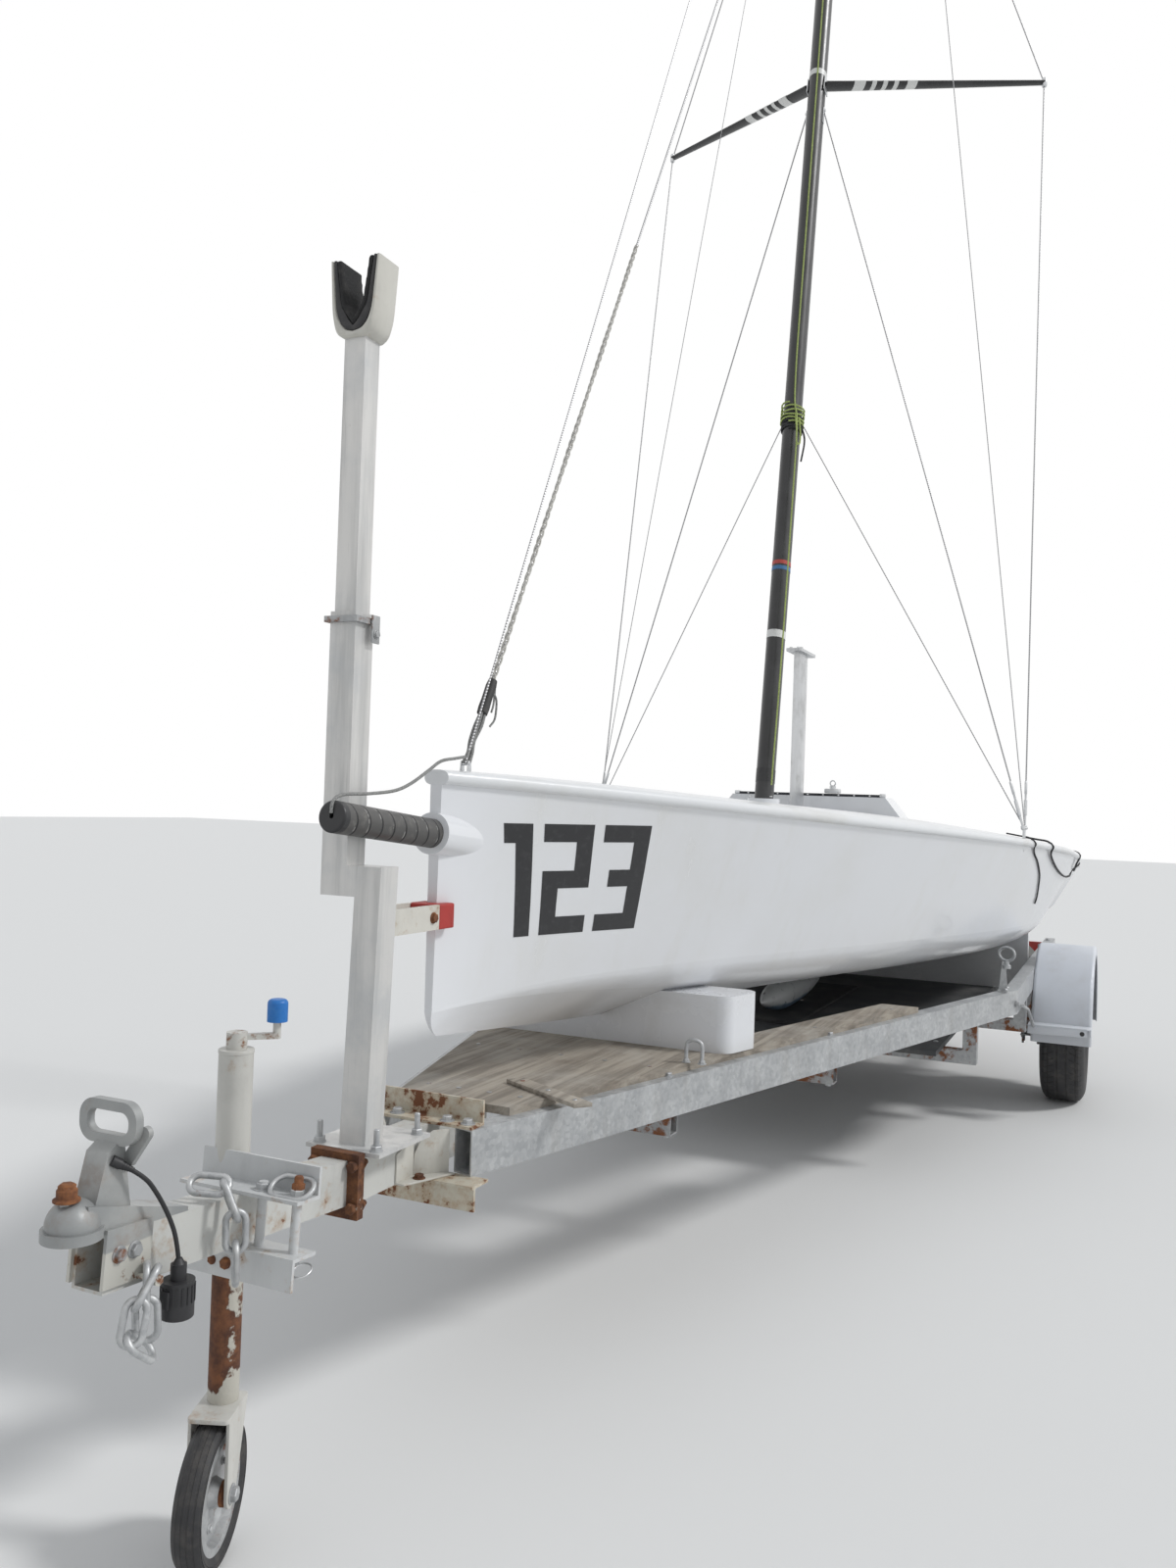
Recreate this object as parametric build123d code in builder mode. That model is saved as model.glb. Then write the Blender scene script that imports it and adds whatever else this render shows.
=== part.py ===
from build123d import *
import os
from math import asin, cos, degrees, pi, radians, sin, sqrt, tan

# Sportsboat dinghy with a lifting keel, parked on its road trailer.
# Millimetres. +X is forward, +Y is port, +Z is up.
# The origin is on the floor, below the middle of the whole outfit.

os.makedirs("parts", exist_ok=True)

# Lengths along the outfit
nose_to_post = 748
post_to_stem = 230
hull_length = 5790
gudgeon_reach = 45
gudgeon_levels = (45, 150)
overall_length = nose_to_post + post_to_stem + hull_length + gudgeon_reach
post_x = overall_length / 2 - nose_to_post
stem_x = post_x - post_to_stem
transom_x = stem_x - hull_length

# Heights and clearances
frame_top = 640
seat_gap = 0.3

# Trailer frame
rail_height = 95
rail_width = 50
rail_wall = 4
rail_front = 200
rail_front_half = 135
rail_bend = 3100
rail_bend_half = 950
rail_tail = 5450
beam_size = 50
beam_wall = 3
beam_inset = 4
drop_beam_places = (2750, 3600, 4640)
cross_beam_places = (900, 1700, 5300)

# Drawbar
drawbar_width = 60
drawbar_height = 85
drawbar_wall = 5
drawbar_front = 668
drawbar_tilt = 4
drawbar_drop = 6
joint_ahead = 75
joint_plate = 10
joint_plate_height = 122
joint_plate_width = 110
joint_plate_drop = 8
tail_reach = 250
deck_plate = 8
angle_leg = 52
angle_thick = 6
angle_shift = 50
angle_half_top = 134
angle_half_low = 172

# Coupling
ball_radius = 25
ball_gap = 0.25
dome_radius = 38
dome_skirt = 5
dome_ahead = 705
dome_level = 57
dome_foot = 38
socket_depth = 22
ball_seat = 4
flange_back = 200
cheek_back = 84
cheek_thick = 6
cheek_rise = 9
hook_back = 95
hook_side = 46
hook_level = -40
hook_bolt = 4
handle_ahead = 640
handle_top = 222
handle_width = 112
handle_height = 64
handle_thick = 15

# Hull form
lip_depth = 30
lip_reach = 16
forefoot_radius = 62
floor_level = 180
cockpit_half_front = 480
cockpit_half_aft = 640
cockpit_corner = 90

# Mast and rig
mast_aft = 2480
cockpit_front = mast_aft + 940
mast_level = 712
mast_rake = 8.7
mast_width = 74
mast_depth = 96
mast_length = 7500
groove_depth = 9
groove_width = 6
step_depth = 60
step_lip = 14
step_margin = 26
spreader_level = 3200
spreader_half = 895
spreader_sweep = 540
spreader_rise = 232
spreader_chord = 64
spreader_thick = 22
hounds_level = 5750
lowers_level = 3080
stay_radius = 3
shroud_aft = mast_aft + 500
shroud_half = 948
shroud_level = 640
forestay_aft = 120
forestay_level = 762
plate_length = 60
plate_thick = 8
plate_drop = 90

# Keel
keel_aft = mast_aft + 510
keel_chord = 230
keel_thick = 34
keel_slot_gap = 6
keel_top = 1370
keel_cap = 12
head_margin = 34
head_eye = 22
bulb_length = 980
bulb_radius = 62
bulb_tip = 5
bulb_level = -100

# Bowsprit
pole_radius = 31
pole_rise = 5.6
pole_bore_gap = 0.3
pole_out = 366
pole_length = 2200
pole_wall = 3
pole_level = 606
plug_length = 18
collar_radius = 45
collar_root_radius = 60
collar_front = 14
collar_length = 170

# Coaming abaft the keel
coaming_aft = mast_aft + 690
coaming_length = 190
coaming_half_top = 350
coaming_half_base = 470
coaming_top = 752
coaming_base = 600
track_width = 28
track_height = 12

# Road wheels
axle_aft = 4200
axle_size = 45
tyre_radius = 325
tyre_width = 195
rim_radius = 178
rim_width = 140
hub_radius = 62
stub_radius = 20
bearing_gap = 0.05
guard_width = 254
guard_radius = 405
guard_skin = 4
guard_side = 42
guard_corner = 14
wheel_half_track = rail_bend_half + guard_width / 2
stub_length = 165
cap_length = 20
rim_flange = 14
rim_edge = 6
disc_thick = 5
disc_inset = 22
spring_half = 330
spring_width = 45
spring_leaf = 18
spring_eye = 22
spring_eye_level = -168
spring_y = rail_bend_half - rail_width / 2

# Jockey wheel
jockey_ahead = 300
jockey_side = 61
jockey_tube_radius = 30
jockey_tube_top = 231
jockey_tube_foot = -120
jockey_tube_wall = 3
jockey_leg_radius = jockey_tube_radius - jockey_tube_wall - seat_gap
jockey_leg_top = 70
jockey_wheel_radius = 125
jockey_wheel_width = 50
jockey_turn = 22
jockey_trail = 45
fork_gap = 5
fork_thick = 6
fork_crown = 8
fork_width = 46
fork_bolt = 8
swivel_radius = 10
swivel_length = 70
jockey_rim_radius = 84
jockey_rim_flange = 10
jockey_rim_width = 38
jockey_cap = 30
crank_cap = 18
crank_reach = 68
crank_turn = 135
crank_rise = 30
crank_thick = 14
knob_radius = 18
knob_height = 40
clamp_ledge = 60
clamp_leaf = 52
clamp_thick = 6
clamp_bite = 4
clamp_starboard = 99
clamp_port = 148
clamp_bolt = 8
clamp_bolt_places = (54, 125)

# Mast post and its crutch
post_size = 60
post_wall = 5
post_jog_level = 515
post_shift = 67
post_lean = 14
post_outer_top = 1045
post_inner_size = 49
post_inner_wall = 4
post_inner_top = 1590
post_inner_length = 900
crutch_reach = 155
crutch_length = 70
crutch_half = 50
crutch_flare = 9
base_length = 180
base_ahead = 62
base_width = 170
stop_level = 433
stop_depth = 52
stop_plate = 8
stop_back = 200
stop_half = 38
stop_pad = 60
stop_web = 12
chain_wire = 11
chain_width = 42
chain_pitch = 50
chain_gap = 3
chain_twist = 45
cable_radius = 3.5
cable_gland = 8
cable_plug_neck = 12
cable_plug_radius = 25
cable_plug_length = 56
collar_drop = 22
collar_height = 12
collar_wall = 9
collar_tab = 34

# Cradles, boards and mat
board_thick = 18
board_front = 345
board_break = 1360
board_tail = 2300
board_over = -32
board_strip = 125
lamp_board_height = 90
lamp_board_thick = 20
lamp_board_drop = 28
lamp_length = 150
lamp_depth = 45
tie_down_aft = 3020
tie_down_height = 120
tie_down_wire = 6
cradle_front_aft = 1150
cradle_length = 170
cradle_half = 375
cradle_corner = 42
cradle_height = 154
cradle_rear_aft = 4480
cradle_rear_length = 60
cradle_gap = 20
cradle_rear_half = rail_bend_half - rail_width - cradle_gap
platform_front = 2550
platform_tail = 4700
platform_half = 720
mat_thick = 12
mat_half = 145
mat_front = 2760
mat_length = 1180

pieces = {}


def keep(label, part):
    """Name a finished piece and keep it for writing."""
    part.label = label
    pieces[label] = part


def up(level):
    """Height above the floor of a level counted from the top of the trailer frame."""
    return frame_top + level


def abaft_post(distance):
    return post_x - distance


def abaft_stem(distance):
    return stem_x - distance


def cross_plane(x):
    """Plane across the outfit: its x runs to port, its y runs up from the frame top."""
    return Plane(origin=(x, 0, frame_top), x_dir=(0, 1, 0), z_dir=(1, 0, 0))


def side_plane(y):
    """Plane along the outfit at a given port distance: its x runs forward, its y up from the floor."""
    return Plane(origin=(0, y, 0), x_dir=(1, 0, 0), z_dir=(0, -1, 0))


def rod(start, end, radius):
    """Round rod from one point to another."""
    reach = (Vector(*end) - Vector(*start)).length
    with BuildPart() as bar:
        with BuildSketch(Plane(origin=start, z_dir=Vector(*end) - Vector(*start))):
            Circle(radius)
        extrude(amount=reach)
    return bar.part


def block(low, high):
    """Square block from its low corner to its high corner."""
    size = [high[i] - low[i] for i in range(3)]
    middle = [(high[i] + low[i]) / 2 for i in range(3)]
    with BuildPart() as brick:
        with Locations(middle):
            Box(*size)
    return brick.part


# Hull sections, counted aft from the stem and up from the frame top:
# aft, half breadth at the sheer, sheer, keel line, bilge half breadth, bilge level, bilge radius, deck crown
hull_sections = [
    (0, 14, 742, 172, 9, 225, 20, 2),
    (400, 200, 724, 135, 92, 235, 70, 18),
    (1000, 455, 692, 82, 285, 205, 140, 36),
    (1800, 710, 652, 28, 520, 158, 190, 58),
    (2800, 930, 606, -8, 745, 122, 190, 84),
    (4000, 1078, 540, -18, 900, 100, 170, 60),
    (5790, 1035, 420, 12, 880, 110, 130, 24),
]
pole_plane = Plane(
    origin=(stem_x, 0, up(pole_level)),
    x_dir=(0, 1, 0),
    z_dir=(cos(radians(pole_rise)), 0, sin(radians(pole_rise))),
)


def pole_point(reach):
    """Point on the bowsprit's axis, counted forward from the stem."""
    spot = pole_plane.origin + pole_plane.z_dir * reach
    return (spot.X, spot.Y, spot.Z)


# Openings shared by the hull and the deck: the cockpit, open aft, and the keel slot
with BuildPart() as openings:
    with BuildSketch(Plane.XY.offset(up(floor_level))):
        with BuildLine():
            FilletPolyline(
                (transom_x - 10, cockpit_half_aft),
                (abaft_stem(cockpit_front), cockpit_half_front),
                (abaft_stem(cockpit_front), -cockpit_half_front),
                (transom_x - 10, -cockpit_half_aft),
                radius=cockpit_corner,
            )
            Line((transom_x - 10, -cockpit_half_aft), (transom_x - 10, cockpit_half_aft))
        make_face()
    extrude(amount=900)
    with BuildSketch(Plane.XY.offset(up(-200))):
        with Locations((abaft_stem(keel_aft), 0)):
            SlotOverall(keel_chord + 2 * keel_slot_gap, keel_thick + 2 * keel_slot_gap)
    extrude(amount=1200)

# Hull moulding: lofted sections, rounded forefoot, sprit collar, open cockpit, keel slot
with BuildPart() as hull:
    for aft, breadth, sheer, keel, bilge, bilge_level, bilge_radius, crown in hull_sections:
        with BuildSketch(cross_plane(abaft_stem(aft))):
            with BuildLine():
                FilletPolyline((0, keel), (bilge, bilge_level), (breadth, sheer - lip_depth), radius=bilge_radius)
                Line((breadth, sheer - lip_depth), (0, sheer - lip_depth))
                mirror(about=Plane.YZ)
            make_face()
    loft()
    forefoot_level = up(hull_sections[0][3])
    with BuildSketch(side_plane(0)):
        with Locations((stem_x, forefoot_level)):
            Rectangle(2 * forefoot_radius, 2 * forefoot_radius)
        with Locations((stem_x - forefoot_radius, forefoot_level + forefoot_radius - 8)):
            Circle(forefoot_radius, mode=Mode.SUBTRACT)
        with Locations((stem_x - 2 * forefoot_radius, forefoot_level)):
            Rectangle(2 * forefoot_radius, 6 * forefoot_radius, mode=Mode.SUBTRACT)
    extrude(amount=200, both=True, mode=Mode.SUBTRACT)
    with BuildSketch(pole_plane.offset(collar_front)):
        Circle(collar_radius)
    with BuildSketch(pole_plane.offset(collar_front - collar_length)):
        Circle(collar_root_radius)
    loft()
    with BuildSketch(pole_plane.offset(collar_front)):
        Circle(pole_radius + pole_bore_gap)
    extrude(amount=pole_out - pole_length - collar_front - 20, mode=Mode.SUBTRACT)
    add(openings.part, mode=Mode.SUBTRACT)
keep("hull", hull.part)

# Deck moulding with its overhanging rounded edge
with BuildPart() as deck:
    for aft, breadth, sheer, keel, bilge, bilge_level, bilge_radius, crown in hull_sections:
        low = sheer - lip_depth
        rim = breadth + 4
        with BuildSketch(cross_plane(abaft_stem(aft))):
            with BuildLine():
                Line((-breadth, low), (breadth, low))
                ThreePointArc((breadth, low), (breadth + lip_reach, sheer - lip_depth / 2), (rim, sheer))
                ThreePointArc((rim, sheer), (0, sheer + crown), (-rim, sheer))
                ThreePointArc((-rim, sheer), (-breadth - lip_reach, sheer - lip_depth / 2), (-breadth, low))
            make_face()
    loft()
    add(openings.part, mode=Mode.SUBTRACT)
keep("deck", deck.part)

# Bowsprit pole and its end plug with the tack line slot
with BuildPart() as bowsprit:
    with BuildSketch(pole_plane.offset(pole_out - pole_length)):
        Circle(pole_radius)
        Circle(pole_radius - pole_wall, mode=Mode.SUBTRACT)
    extrude(amount=pole_length - plug_length)
keep("bowsprit", bowsprit.part)

with BuildPart() as sprit_plug:
    with BuildSketch(pole_plane.offset(pole_out - plug_length)):
        Circle(pole_radius)
    extrude(amount=plug_length)
    fillet(sprit_plug.edges().sort_by(Axis.X)[-1], 5)
    with BuildSketch(pole_plane.offset(pole_out - plug_length)):
        with Locations((0, 8)):
            SlotOverall(24, 9, rotation=90)
    extrude(amount=plug_length + 5, mode=Mode.SUBTRACT)
keep("sprit_plug", sprit_plug.part)

# Mast, raked aft, with its sail groove
rake = radians(mast_rake)
mast_plane = Plane(
    origin=(abaft_stem(mast_aft), 0, up(mast_level)),
    x_dir=(cos(rake), 0, sin(rake)),
    z_dir=(-sin(rake), 0, cos(rake)),
)


def mast_point(level, ahead=0.0, port=0.0):
    """Point in the mast's own frame, so high above its foot."""
    spot = mast_plane.origin + mast_plane.z_dir * level + mast_plane.x_dir * ahead + mast_plane.y_dir * port
    return (spot.X, spot.Y, spot.Z)


with BuildPart() as mast:
    with BuildSketch(mast_plane):
        Ellipse(mast_depth / 2, mast_width / 2)
        with Locations((-mast_depth / 2, 0)):
            Rectangle(2 * groove_depth, groove_width, mode=Mode.SUBTRACT)
    extrude(amount=mast_length)
keep("mast", mast.part)

# Raised step under the mast, shaped to the deck's crown
with BuildPart() as mast_step:
    with BuildSketch(Plane.XY.offset(up(mast_level) - step_depth)):
        with Locations((abaft_stem(mast_aft), 0)):
            Ellipse(mast_depth / 2 + step_margin, mast_width / 2 + step_margin)
    extrude(amount=step_depth + step_lip)
    with BuildSketch(mast_plane):
        Ellipse(mast_depth / 2 + seat_gap, mast_width / 2 + seat_gap)
    extrude(amount=4 * step_depth, both=False, mode=Mode.SUBTRACT)
    add(deck.part, mode=Mode.SUBTRACT)
    add(hull.part, mode=Mode.SUBTRACT)
keep("mast_step", mast_step.part)

# Spreaders, swept aft
with BuildPart() as spreaders:
    for side in (1, -1):
        root = mast_point(spreader_level, port=side * (mast_width / 2 - 4))
        tip = mast_point(spreader_level + spreader_rise, ahead=-spreader_sweep, port=side * spreader_half)
        along = Vector(*tip) - Vector(*root)
        root_plane = Plane(origin=root, x_dir=mast_plane.z_dir.cross(along), z_dir=along)
        with BuildSketch(root_plane):
            Ellipse(spreader_chord / 2, spreader_thick / 2)
        with BuildSketch(root_plane.offset(along.length)):
            Ellipse(spreader_chord / 4, spreader_thick / 3)
        loft()
    add(mast.part, mode=Mode.SUBTRACT)
keep("spreaders", spreaders.part)

# Chainplates on the side decks and the stays that they hold
with BuildPart() as chainplates:
    with Locations(*[(abaft_stem(shroud_aft), side * shroud_half, up(shroud_level) - plate_drop / 2) for side in (1, -1)]):
        Box(plate_length, plate_thick, plate_drop)
    add(deck.part, mode=Mode.SUBTRACT)
    add(hull.part, mode=Mode.SUBTRACT)
keep("chainplates", chainplates.part)

stay_foot = up(shroud_level)
foot_shift = plate_length / 2 - 2 * stay_radius
mast_side = mast_width / 2
shroud_ends = []
lower_ends = []
for side in (1, -1):
    foot = (abaft_stem(shroud_aft) - foot_shift, side * shroud_half, stay_foot)
    low_foot = (abaft_stem(shroud_aft) + foot_shift, side * shroud_half, stay_foot)
    tip = mast_point(spreader_level + spreader_rise, -spreader_sweep, side * (spreader_half + stay_radius))
    head = mast_point(hounds_level, 0, side * mast_side)
    low_head = mast_point(lowers_level, 0, side * mast_side)
    shroud_ends += [(foot, tip), (tip, head)]
    lower_ends += [(low_foot, low_head)]
forestay_ends = [
    ((abaft_stem(forestay_aft), 0, up(forestay_level)), mast_point(hounds_level, mast_depth / 2)),
]
for name, ends in (("forestay", forestay_ends), ("shrouds", shroud_ends), ("lowers", lower_ends)):
    with BuildPart() as stays:
        for start, end in ends:
            add(rod(start, end, stay_radius))
        for part in (mast, spreaders, deck, chainplates):
            add(part.part, mode=Mode.SUBTRACT)
    keep(name, stays.part)

# Keel: lead bulb, steel fin through the hull slot, head plate
with BuildPart() as keel_bulb:
    bulb_centre = (abaft_stem(keel_aft), 0, up(bulb_level))
    with BuildSketch(Plane(origin=bulb_centre, x_dir=(1, 0, 0), z_dir=(0, -1, 0))):
        with BuildLine():
            nose = (bulb_length * 0.45, bulb_tip)
            tail = (-bulb_length * 0.55, bulb_tip)
            crest = (bulb_length * 0.15, bulb_radius)
            TangentArc(crest, nose, tangent=(1, 0))
            TangentArc(crest, tail, tangent=(-1, 0))
            Polyline(nose, (nose[0], 0), (tail[0], 0), tail)
        make_face()
    revolve(axis=Axis(bulb_centre, (1, 0, 0)))
keep("keel_bulb", keel_bulb.part)

fin_foot = up(bulb_level)
with BuildPart() as keel_fin:
    with BuildSketch(Plane.XY.offset(fin_foot)):
        with BuildLine():
            lead = (abaft_stem(keel_aft) + keel_chord / 2, 0)
            trail = (abaft_stem(keel_aft) - keel_chord / 2, 0)
            ThreePointArc(lead, (abaft_stem(keel_aft) + keel_chord / 8, keel_thick / 2), trail)
            ThreePointArc(trail, (abaft_stem(keel_aft) + keel_chord / 8, -keel_thick / 2), lead)
        make_face()
    extrude(amount=keel_top - bulb_level)
    add(keel_bulb.part, mode=Mode.SUBTRACT)
keep("keel_fin", keel_fin.part)

with BuildPart() as keel_head:
    with BuildSketch(Plane.XY.offset(up(keel_top))):
        with Locations((abaft_stem(keel_aft), 0)):
            RectangleRounded(keel_chord + head_margin, keel_thick + head_margin, 12)
    extrude(amount=keel_cap)
    with BuildSketch(side_plane(0)):
        with Locations((abaft_stem(keel_aft), up(keel_top) + keel_cap)):
            Circle(head_eye)
            Circle(head_eye / 2, mode=Mode.SUBTRACT)
            Rectangle(4 * head_eye, 2 * head_eye, align=(Align.CENTER, Align.MAX), mode=Mode.SUBTRACT)
    extrude(amount=5, both=True)
keep("keel_head", keel_head.part)

# Coaming abaft the keel, with the jib track along its top
with BuildPart() as coaming:
    with BuildSketch(Plane(origin=(abaft_stem(coaming_aft), 0, 0), x_dir=(0, 1, 0), z_dir=(1, 0, 0))):
        Polygon(
            (-coaming_half_base, up(coaming_base)),
            (coaming_half_base, up(coaming_base)),
            (coaming_half_top, up(coaming_top)),
            (-coaming_half_top, up(coaming_top)),
            align=None,
        )
    extrude(amount=-coaming_length)
    add(deck.part, mode=Mode.SUBTRACT)
    add(hull.part, mode=Mode.SUBTRACT)
keep("coaming", coaming.part.solids().sort_by(SortBy.VOLUME)[-1])

with BuildPart() as jib_track:
    with BuildSketch(Plane.XY.offset(up(coaming_top))):
        with Locations((abaft_stem(coaming_aft) - track_width, 0)):
            Rectangle(track_width, 2 * coaming_half_top - 2 * track_width)
    extrude(amount=track_height)
keep("jib_track", jib_track.part)

with BuildPart() as gudgeons:
    for level in gudgeon_levels:
        with Locations((transom_x - gudgeon_reach / 2, 0, up(level))):
            Box(gudgeon_reach, 30, 26)
        with BuildSketch(Plane.XY.offset(up(level) - 20)):
            with Locations((transom_x - gudgeon_reach + 14, 0)):
                Circle(5)
        extrude(amount=40, mode=Mode.SUBTRACT)
keep("gudgeons", gudgeons.part)

# Trailer rails: rectangular tube, splayed from the nose and then parallel
splay = sqrt((rail_bend - rail_front) ** 2 + (rail_bend_half - rail_front_half) ** 2)
splay_ahead = (rail_bend - rail_front) / splay
splay_out = (rail_bend_half - rail_front_half) / splay
bend_shift = (1 - splay_ahead) / splay_out


def rail_outline(inset):
    """Plan corners of the port rail, moved in from its outer face and from its inner face."""
    width = rail_width - inset
    front_x = abaft_post(rail_front)
    bend_x = abaft_post(rail_bend)
    tail_x = abaft_post(rail_tail)
    return (
        (front_x - inset * splay_out, rail_front_half - inset * splay_ahead),
        (bend_x - inset * bend_shift, rail_bend_half - inset),
        (tail_x, rail_bend_half - inset),
        (tail_x, rail_bend_half - width),
        (bend_x - width * bend_shift, rail_bend_half - width),
        (front_x - width * splay_out, rail_front_half - width * splay_ahead),
    )


def rail_half(distance, inset=0.0):
    """Port distance of the rail's outer face, or of a line inset from it."""
    if distance >= rail_bend:
        return rail_bend_half - inset
    out = rail_front_half + (distance - rail_front) * splay_out / splay_ahead
    return out - inset / splay_ahead


with BuildPart() as rails:
    with BuildSketch(Plane.XY.offset(up(-rail_height))):
        Polygon(*rail_outline(0), align=None)
        mirror(about=Plane.XZ)
    extrude(amount=rail_height)
    with BuildSketch(Plane.XY.offset(up(-rail_height + rail_wall))):
        Polygon(*rail_outline(rail_wall), align=None)
        mirror(about=Plane.XZ)
    extrude(amount=rail_height - 2 * rail_wall, mode=Mode.SUBTRACT)
keep("rails", rails.part)

# Cross beams: straight ones under the rails, dropped ones that carry the keel platform
platform_top = bulb_level - bulb_radius - seat_gap - mat_thick
drop_top = platform_top - board_thick
with BuildPart() as drop_beams:
    for distance in drop_beam_places:
        half = rail_half(distance - beam_size / 2) - beam_inset
        with BuildSketch(cross_plane(abaft_post(distance) + beam_size / 2)):
            Polygon(
                (-half, -rail_height), (-half, drop_top - beam_size), (half, drop_top - beam_size), (half, -rail_height),
                (half - beam_size, -rail_height), (half - beam_size, drop_top), (-half + beam_size, drop_top),
                (-half + beam_size, -rail_height), align=None,
            )
        extrude(amount=-beam_size)
keep("drop_beams", drop_beams.part)

with BuildPart() as cross_beams:
    for distance in cross_beam_places:
        half = rail_half(distance - beam_size / 2) - beam_inset
        with Locations((abaft_post(distance), 0, up(-rail_height - beam_size / 2))):
            Box(beam_size, 2 * half, beam_size)
            Box(beam_size - 2 * beam_wall, 2 * half, beam_size - 2 * beam_wall, mode=Mode.SUBTRACT)
keep("cross_beams", cross_beams.part)

# Drawbar: open box front that rises from its joint, bolted joint plates, tail box between the rails' front ends
tilt = radians(drawbar_tilt)
pull_plane = Plane(
    origin=(abaft_post(-joint_ahead), 0, up(-drawbar_drop)),
    x_dir=(0, 1, 0),
    z_dir=(cos(tilt), 0, sin(tilt)),
)
drawbar_reach = (drawbar_front - joint_ahead) / cos(tilt)
with BuildPart() as joint_plates:
    with BuildSketch(cross_plane(abaft_post(-joint_ahead - joint_plate))):
        with Locations((0, -joint_plate_height / 2 + joint_plate_drop)):
            Rectangle(joint_plate_width, joint_plate_height)
    extrude(amount=-2 * joint_plate)
keep("joint_plates", joint_plates.part)

with BuildPart() as drawbar:
    with BuildSketch(pull_plane.offset(drawbar_reach)):
        with Locations((0, -drawbar_height / 2)):
            Rectangle(drawbar_width, drawbar_height)
            Rectangle(drawbar_width - 2 * drawbar_wall, drawbar_height - 2 * drawbar_wall, mode=Mode.SUBTRACT)
    extrude(amount=-drawbar_reach)
    add(joint_plates.part, mode=Mode.SUBTRACT)
keep("drawbar", drawbar.part.solids().sort_by(Axis.X)[-1])

tail_front = abaft_post(-joint_ahead + joint_plate)
tail_end = abaft_post(rail_front + tail_reach)
with BuildPart() as drawbar_tail:
    with BuildSketch(cross_plane(tail_front)):
        with Locations((0, -rail_height / 2)):
            Rectangle(drawbar_width, rail_height)
            Rectangle(drawbar_width - 2 * drawbar_wall, rail_height - 2 * drawbar_wall, mode=Mode.SUBTRACT)
    extrude(amount=-(tail_front - tail_end))
keep("drawbar_tail", drawbar_tail.part)

# Angles that tie the rails' front ends to the drawbar, above and below
angle_front = abaft_post(rail_front)
with BuildPart() as cross_angles:
    with Locations((angle_front - angle_leg / 2, 0, up(angle_thick / 2))):
        Box(angle_leg, 2 * angle_half_top, angle_thick)
    with Locations((angle_front - angle_leg + angle_thick / 2, 0, up(angle_leg / 2))):
        Box(angle_thick, 2 * angle_half_top, angle_leg)
    with Locations((angle_front + angle_shift - angle_leg / 2, 0, up(-rail_height - angle_thick / 2))):
        Box(angle_leg + 12, 2 * angle_half_low, angle_thick)
    with Locations((angle_front + angle_shift - angle_thick / 2, 0, up(-rail_height - angle_leg / 2))):
        Box(angle_thick, 2 * angle_half_low, angle_leg)
keep("cross_angles", cross_angles.part)

# Mast support post: base plate, mitred jog to starboard, upper tube, sliding inner tube, crutch
post_half = post_size / 2
with BuildPart() as mast_post:
    with BuildSketch(cross_plane(abaft_post(-post_half))):
        Polygon(
            (-post_half, deck_plate), (post_half, deck_plate), (post_lean + post_half, post_jog_level + post_half),
            (-post_shift + post_half, post_jog_level + post_half), (-post_shift + post_half, post_outer_top),
            (-post_shift - post_half, post_outer_top), (-post_shift - post_half, post_jog_level - post_half),
            (post_lean - post_half, post_jog_level - post_half), align=None,
        )
    extrude(amount=-post_size)
    with BuildSketch(Plane.XY.offset(up(post_outer_top))):
        with Locations((abaft_post(0), -post_shift)):
            Rectangle(post_size - 2 * post_wall, post_size - 2 * post_wall)
    extrude(amount=-(post_outer_top - post_jog_level - post_half), mode=Mode.SUBTRACT)
    with BuildSketch(Plane.XY.offset(up(0))):
        with Locations((abaft_post(base_length / 2 - base_ahead), 0)):
            Rectangle(base_length, base_width)
    extrude(amount=deck_plate)
keep("mast_post", mast_post.part)

with BuildPart() as post_collar:
    with BuildSketch(Plane.XY.offset(up(post_outer_top - collar_drop))):
        with Locations((abaft_post(0), -post_shift)):
            Rectangle(post_size + 2 * collar_wall, post_size + 2 * collar_wall)
            Rectangle(post_size, post_size, mode=Mode.SUBTRACT)
        with Locations((abaft_post(post_half + collar_wall + collar_tab / 2), -post_shift)):
            Rectangle(collar_tab, 24)
    extrude(amount=collar_height)
keep("post_collar", post_collar.part)

inner_gap = (post_size - 2 * post_wall - post_inner_size) / 2
with BuildPart() as post_inner:
    with BuildSketch(Plane.XY.offset(up(post_inner_top))):
        with Locations((abaft_post(0), -post_shift)):
            Rectangle(post_inner_size, post_inner_size)
            Rectangle(post_inner_size - 2 * post_inner_wall, post_inner_size - 2 * post_inner_wall, mode=Mode.SUBTRACT)
    extrude(amount=-post_inner_length)
keep("post_inner", post_inner.part)

crutch_plane = Plane(
    origin=(abaft_post(-crutch_length / 2), -post_shift, up(post_inner_top)),
    x_dir=(0, 1, 0),
    z_dir=(1, 0, 0),
)
crutch_tip = crutch_half + crutch_flare
with BuildPart() as mast_crutch:
    with BuildSketch(crutch_plane):
        Polygon(
            (-30, 0), (30, 0), (crutch_half, 45), (crutch_tip, crutch_reach), (crutch_tip - 16, crutch_reach),
            (crutch_half - 20, 62), (0, 22), (-crutch_half + 20, 62), (-crutch_tip + 16, crutch_reach),
            (-crutch_tip, crutch_reach), (-crutch_half, 45), align=None,
        )
    extrude(amount=-crutch_length)
keep("mast_crutch", mast_crutch.part)

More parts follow.
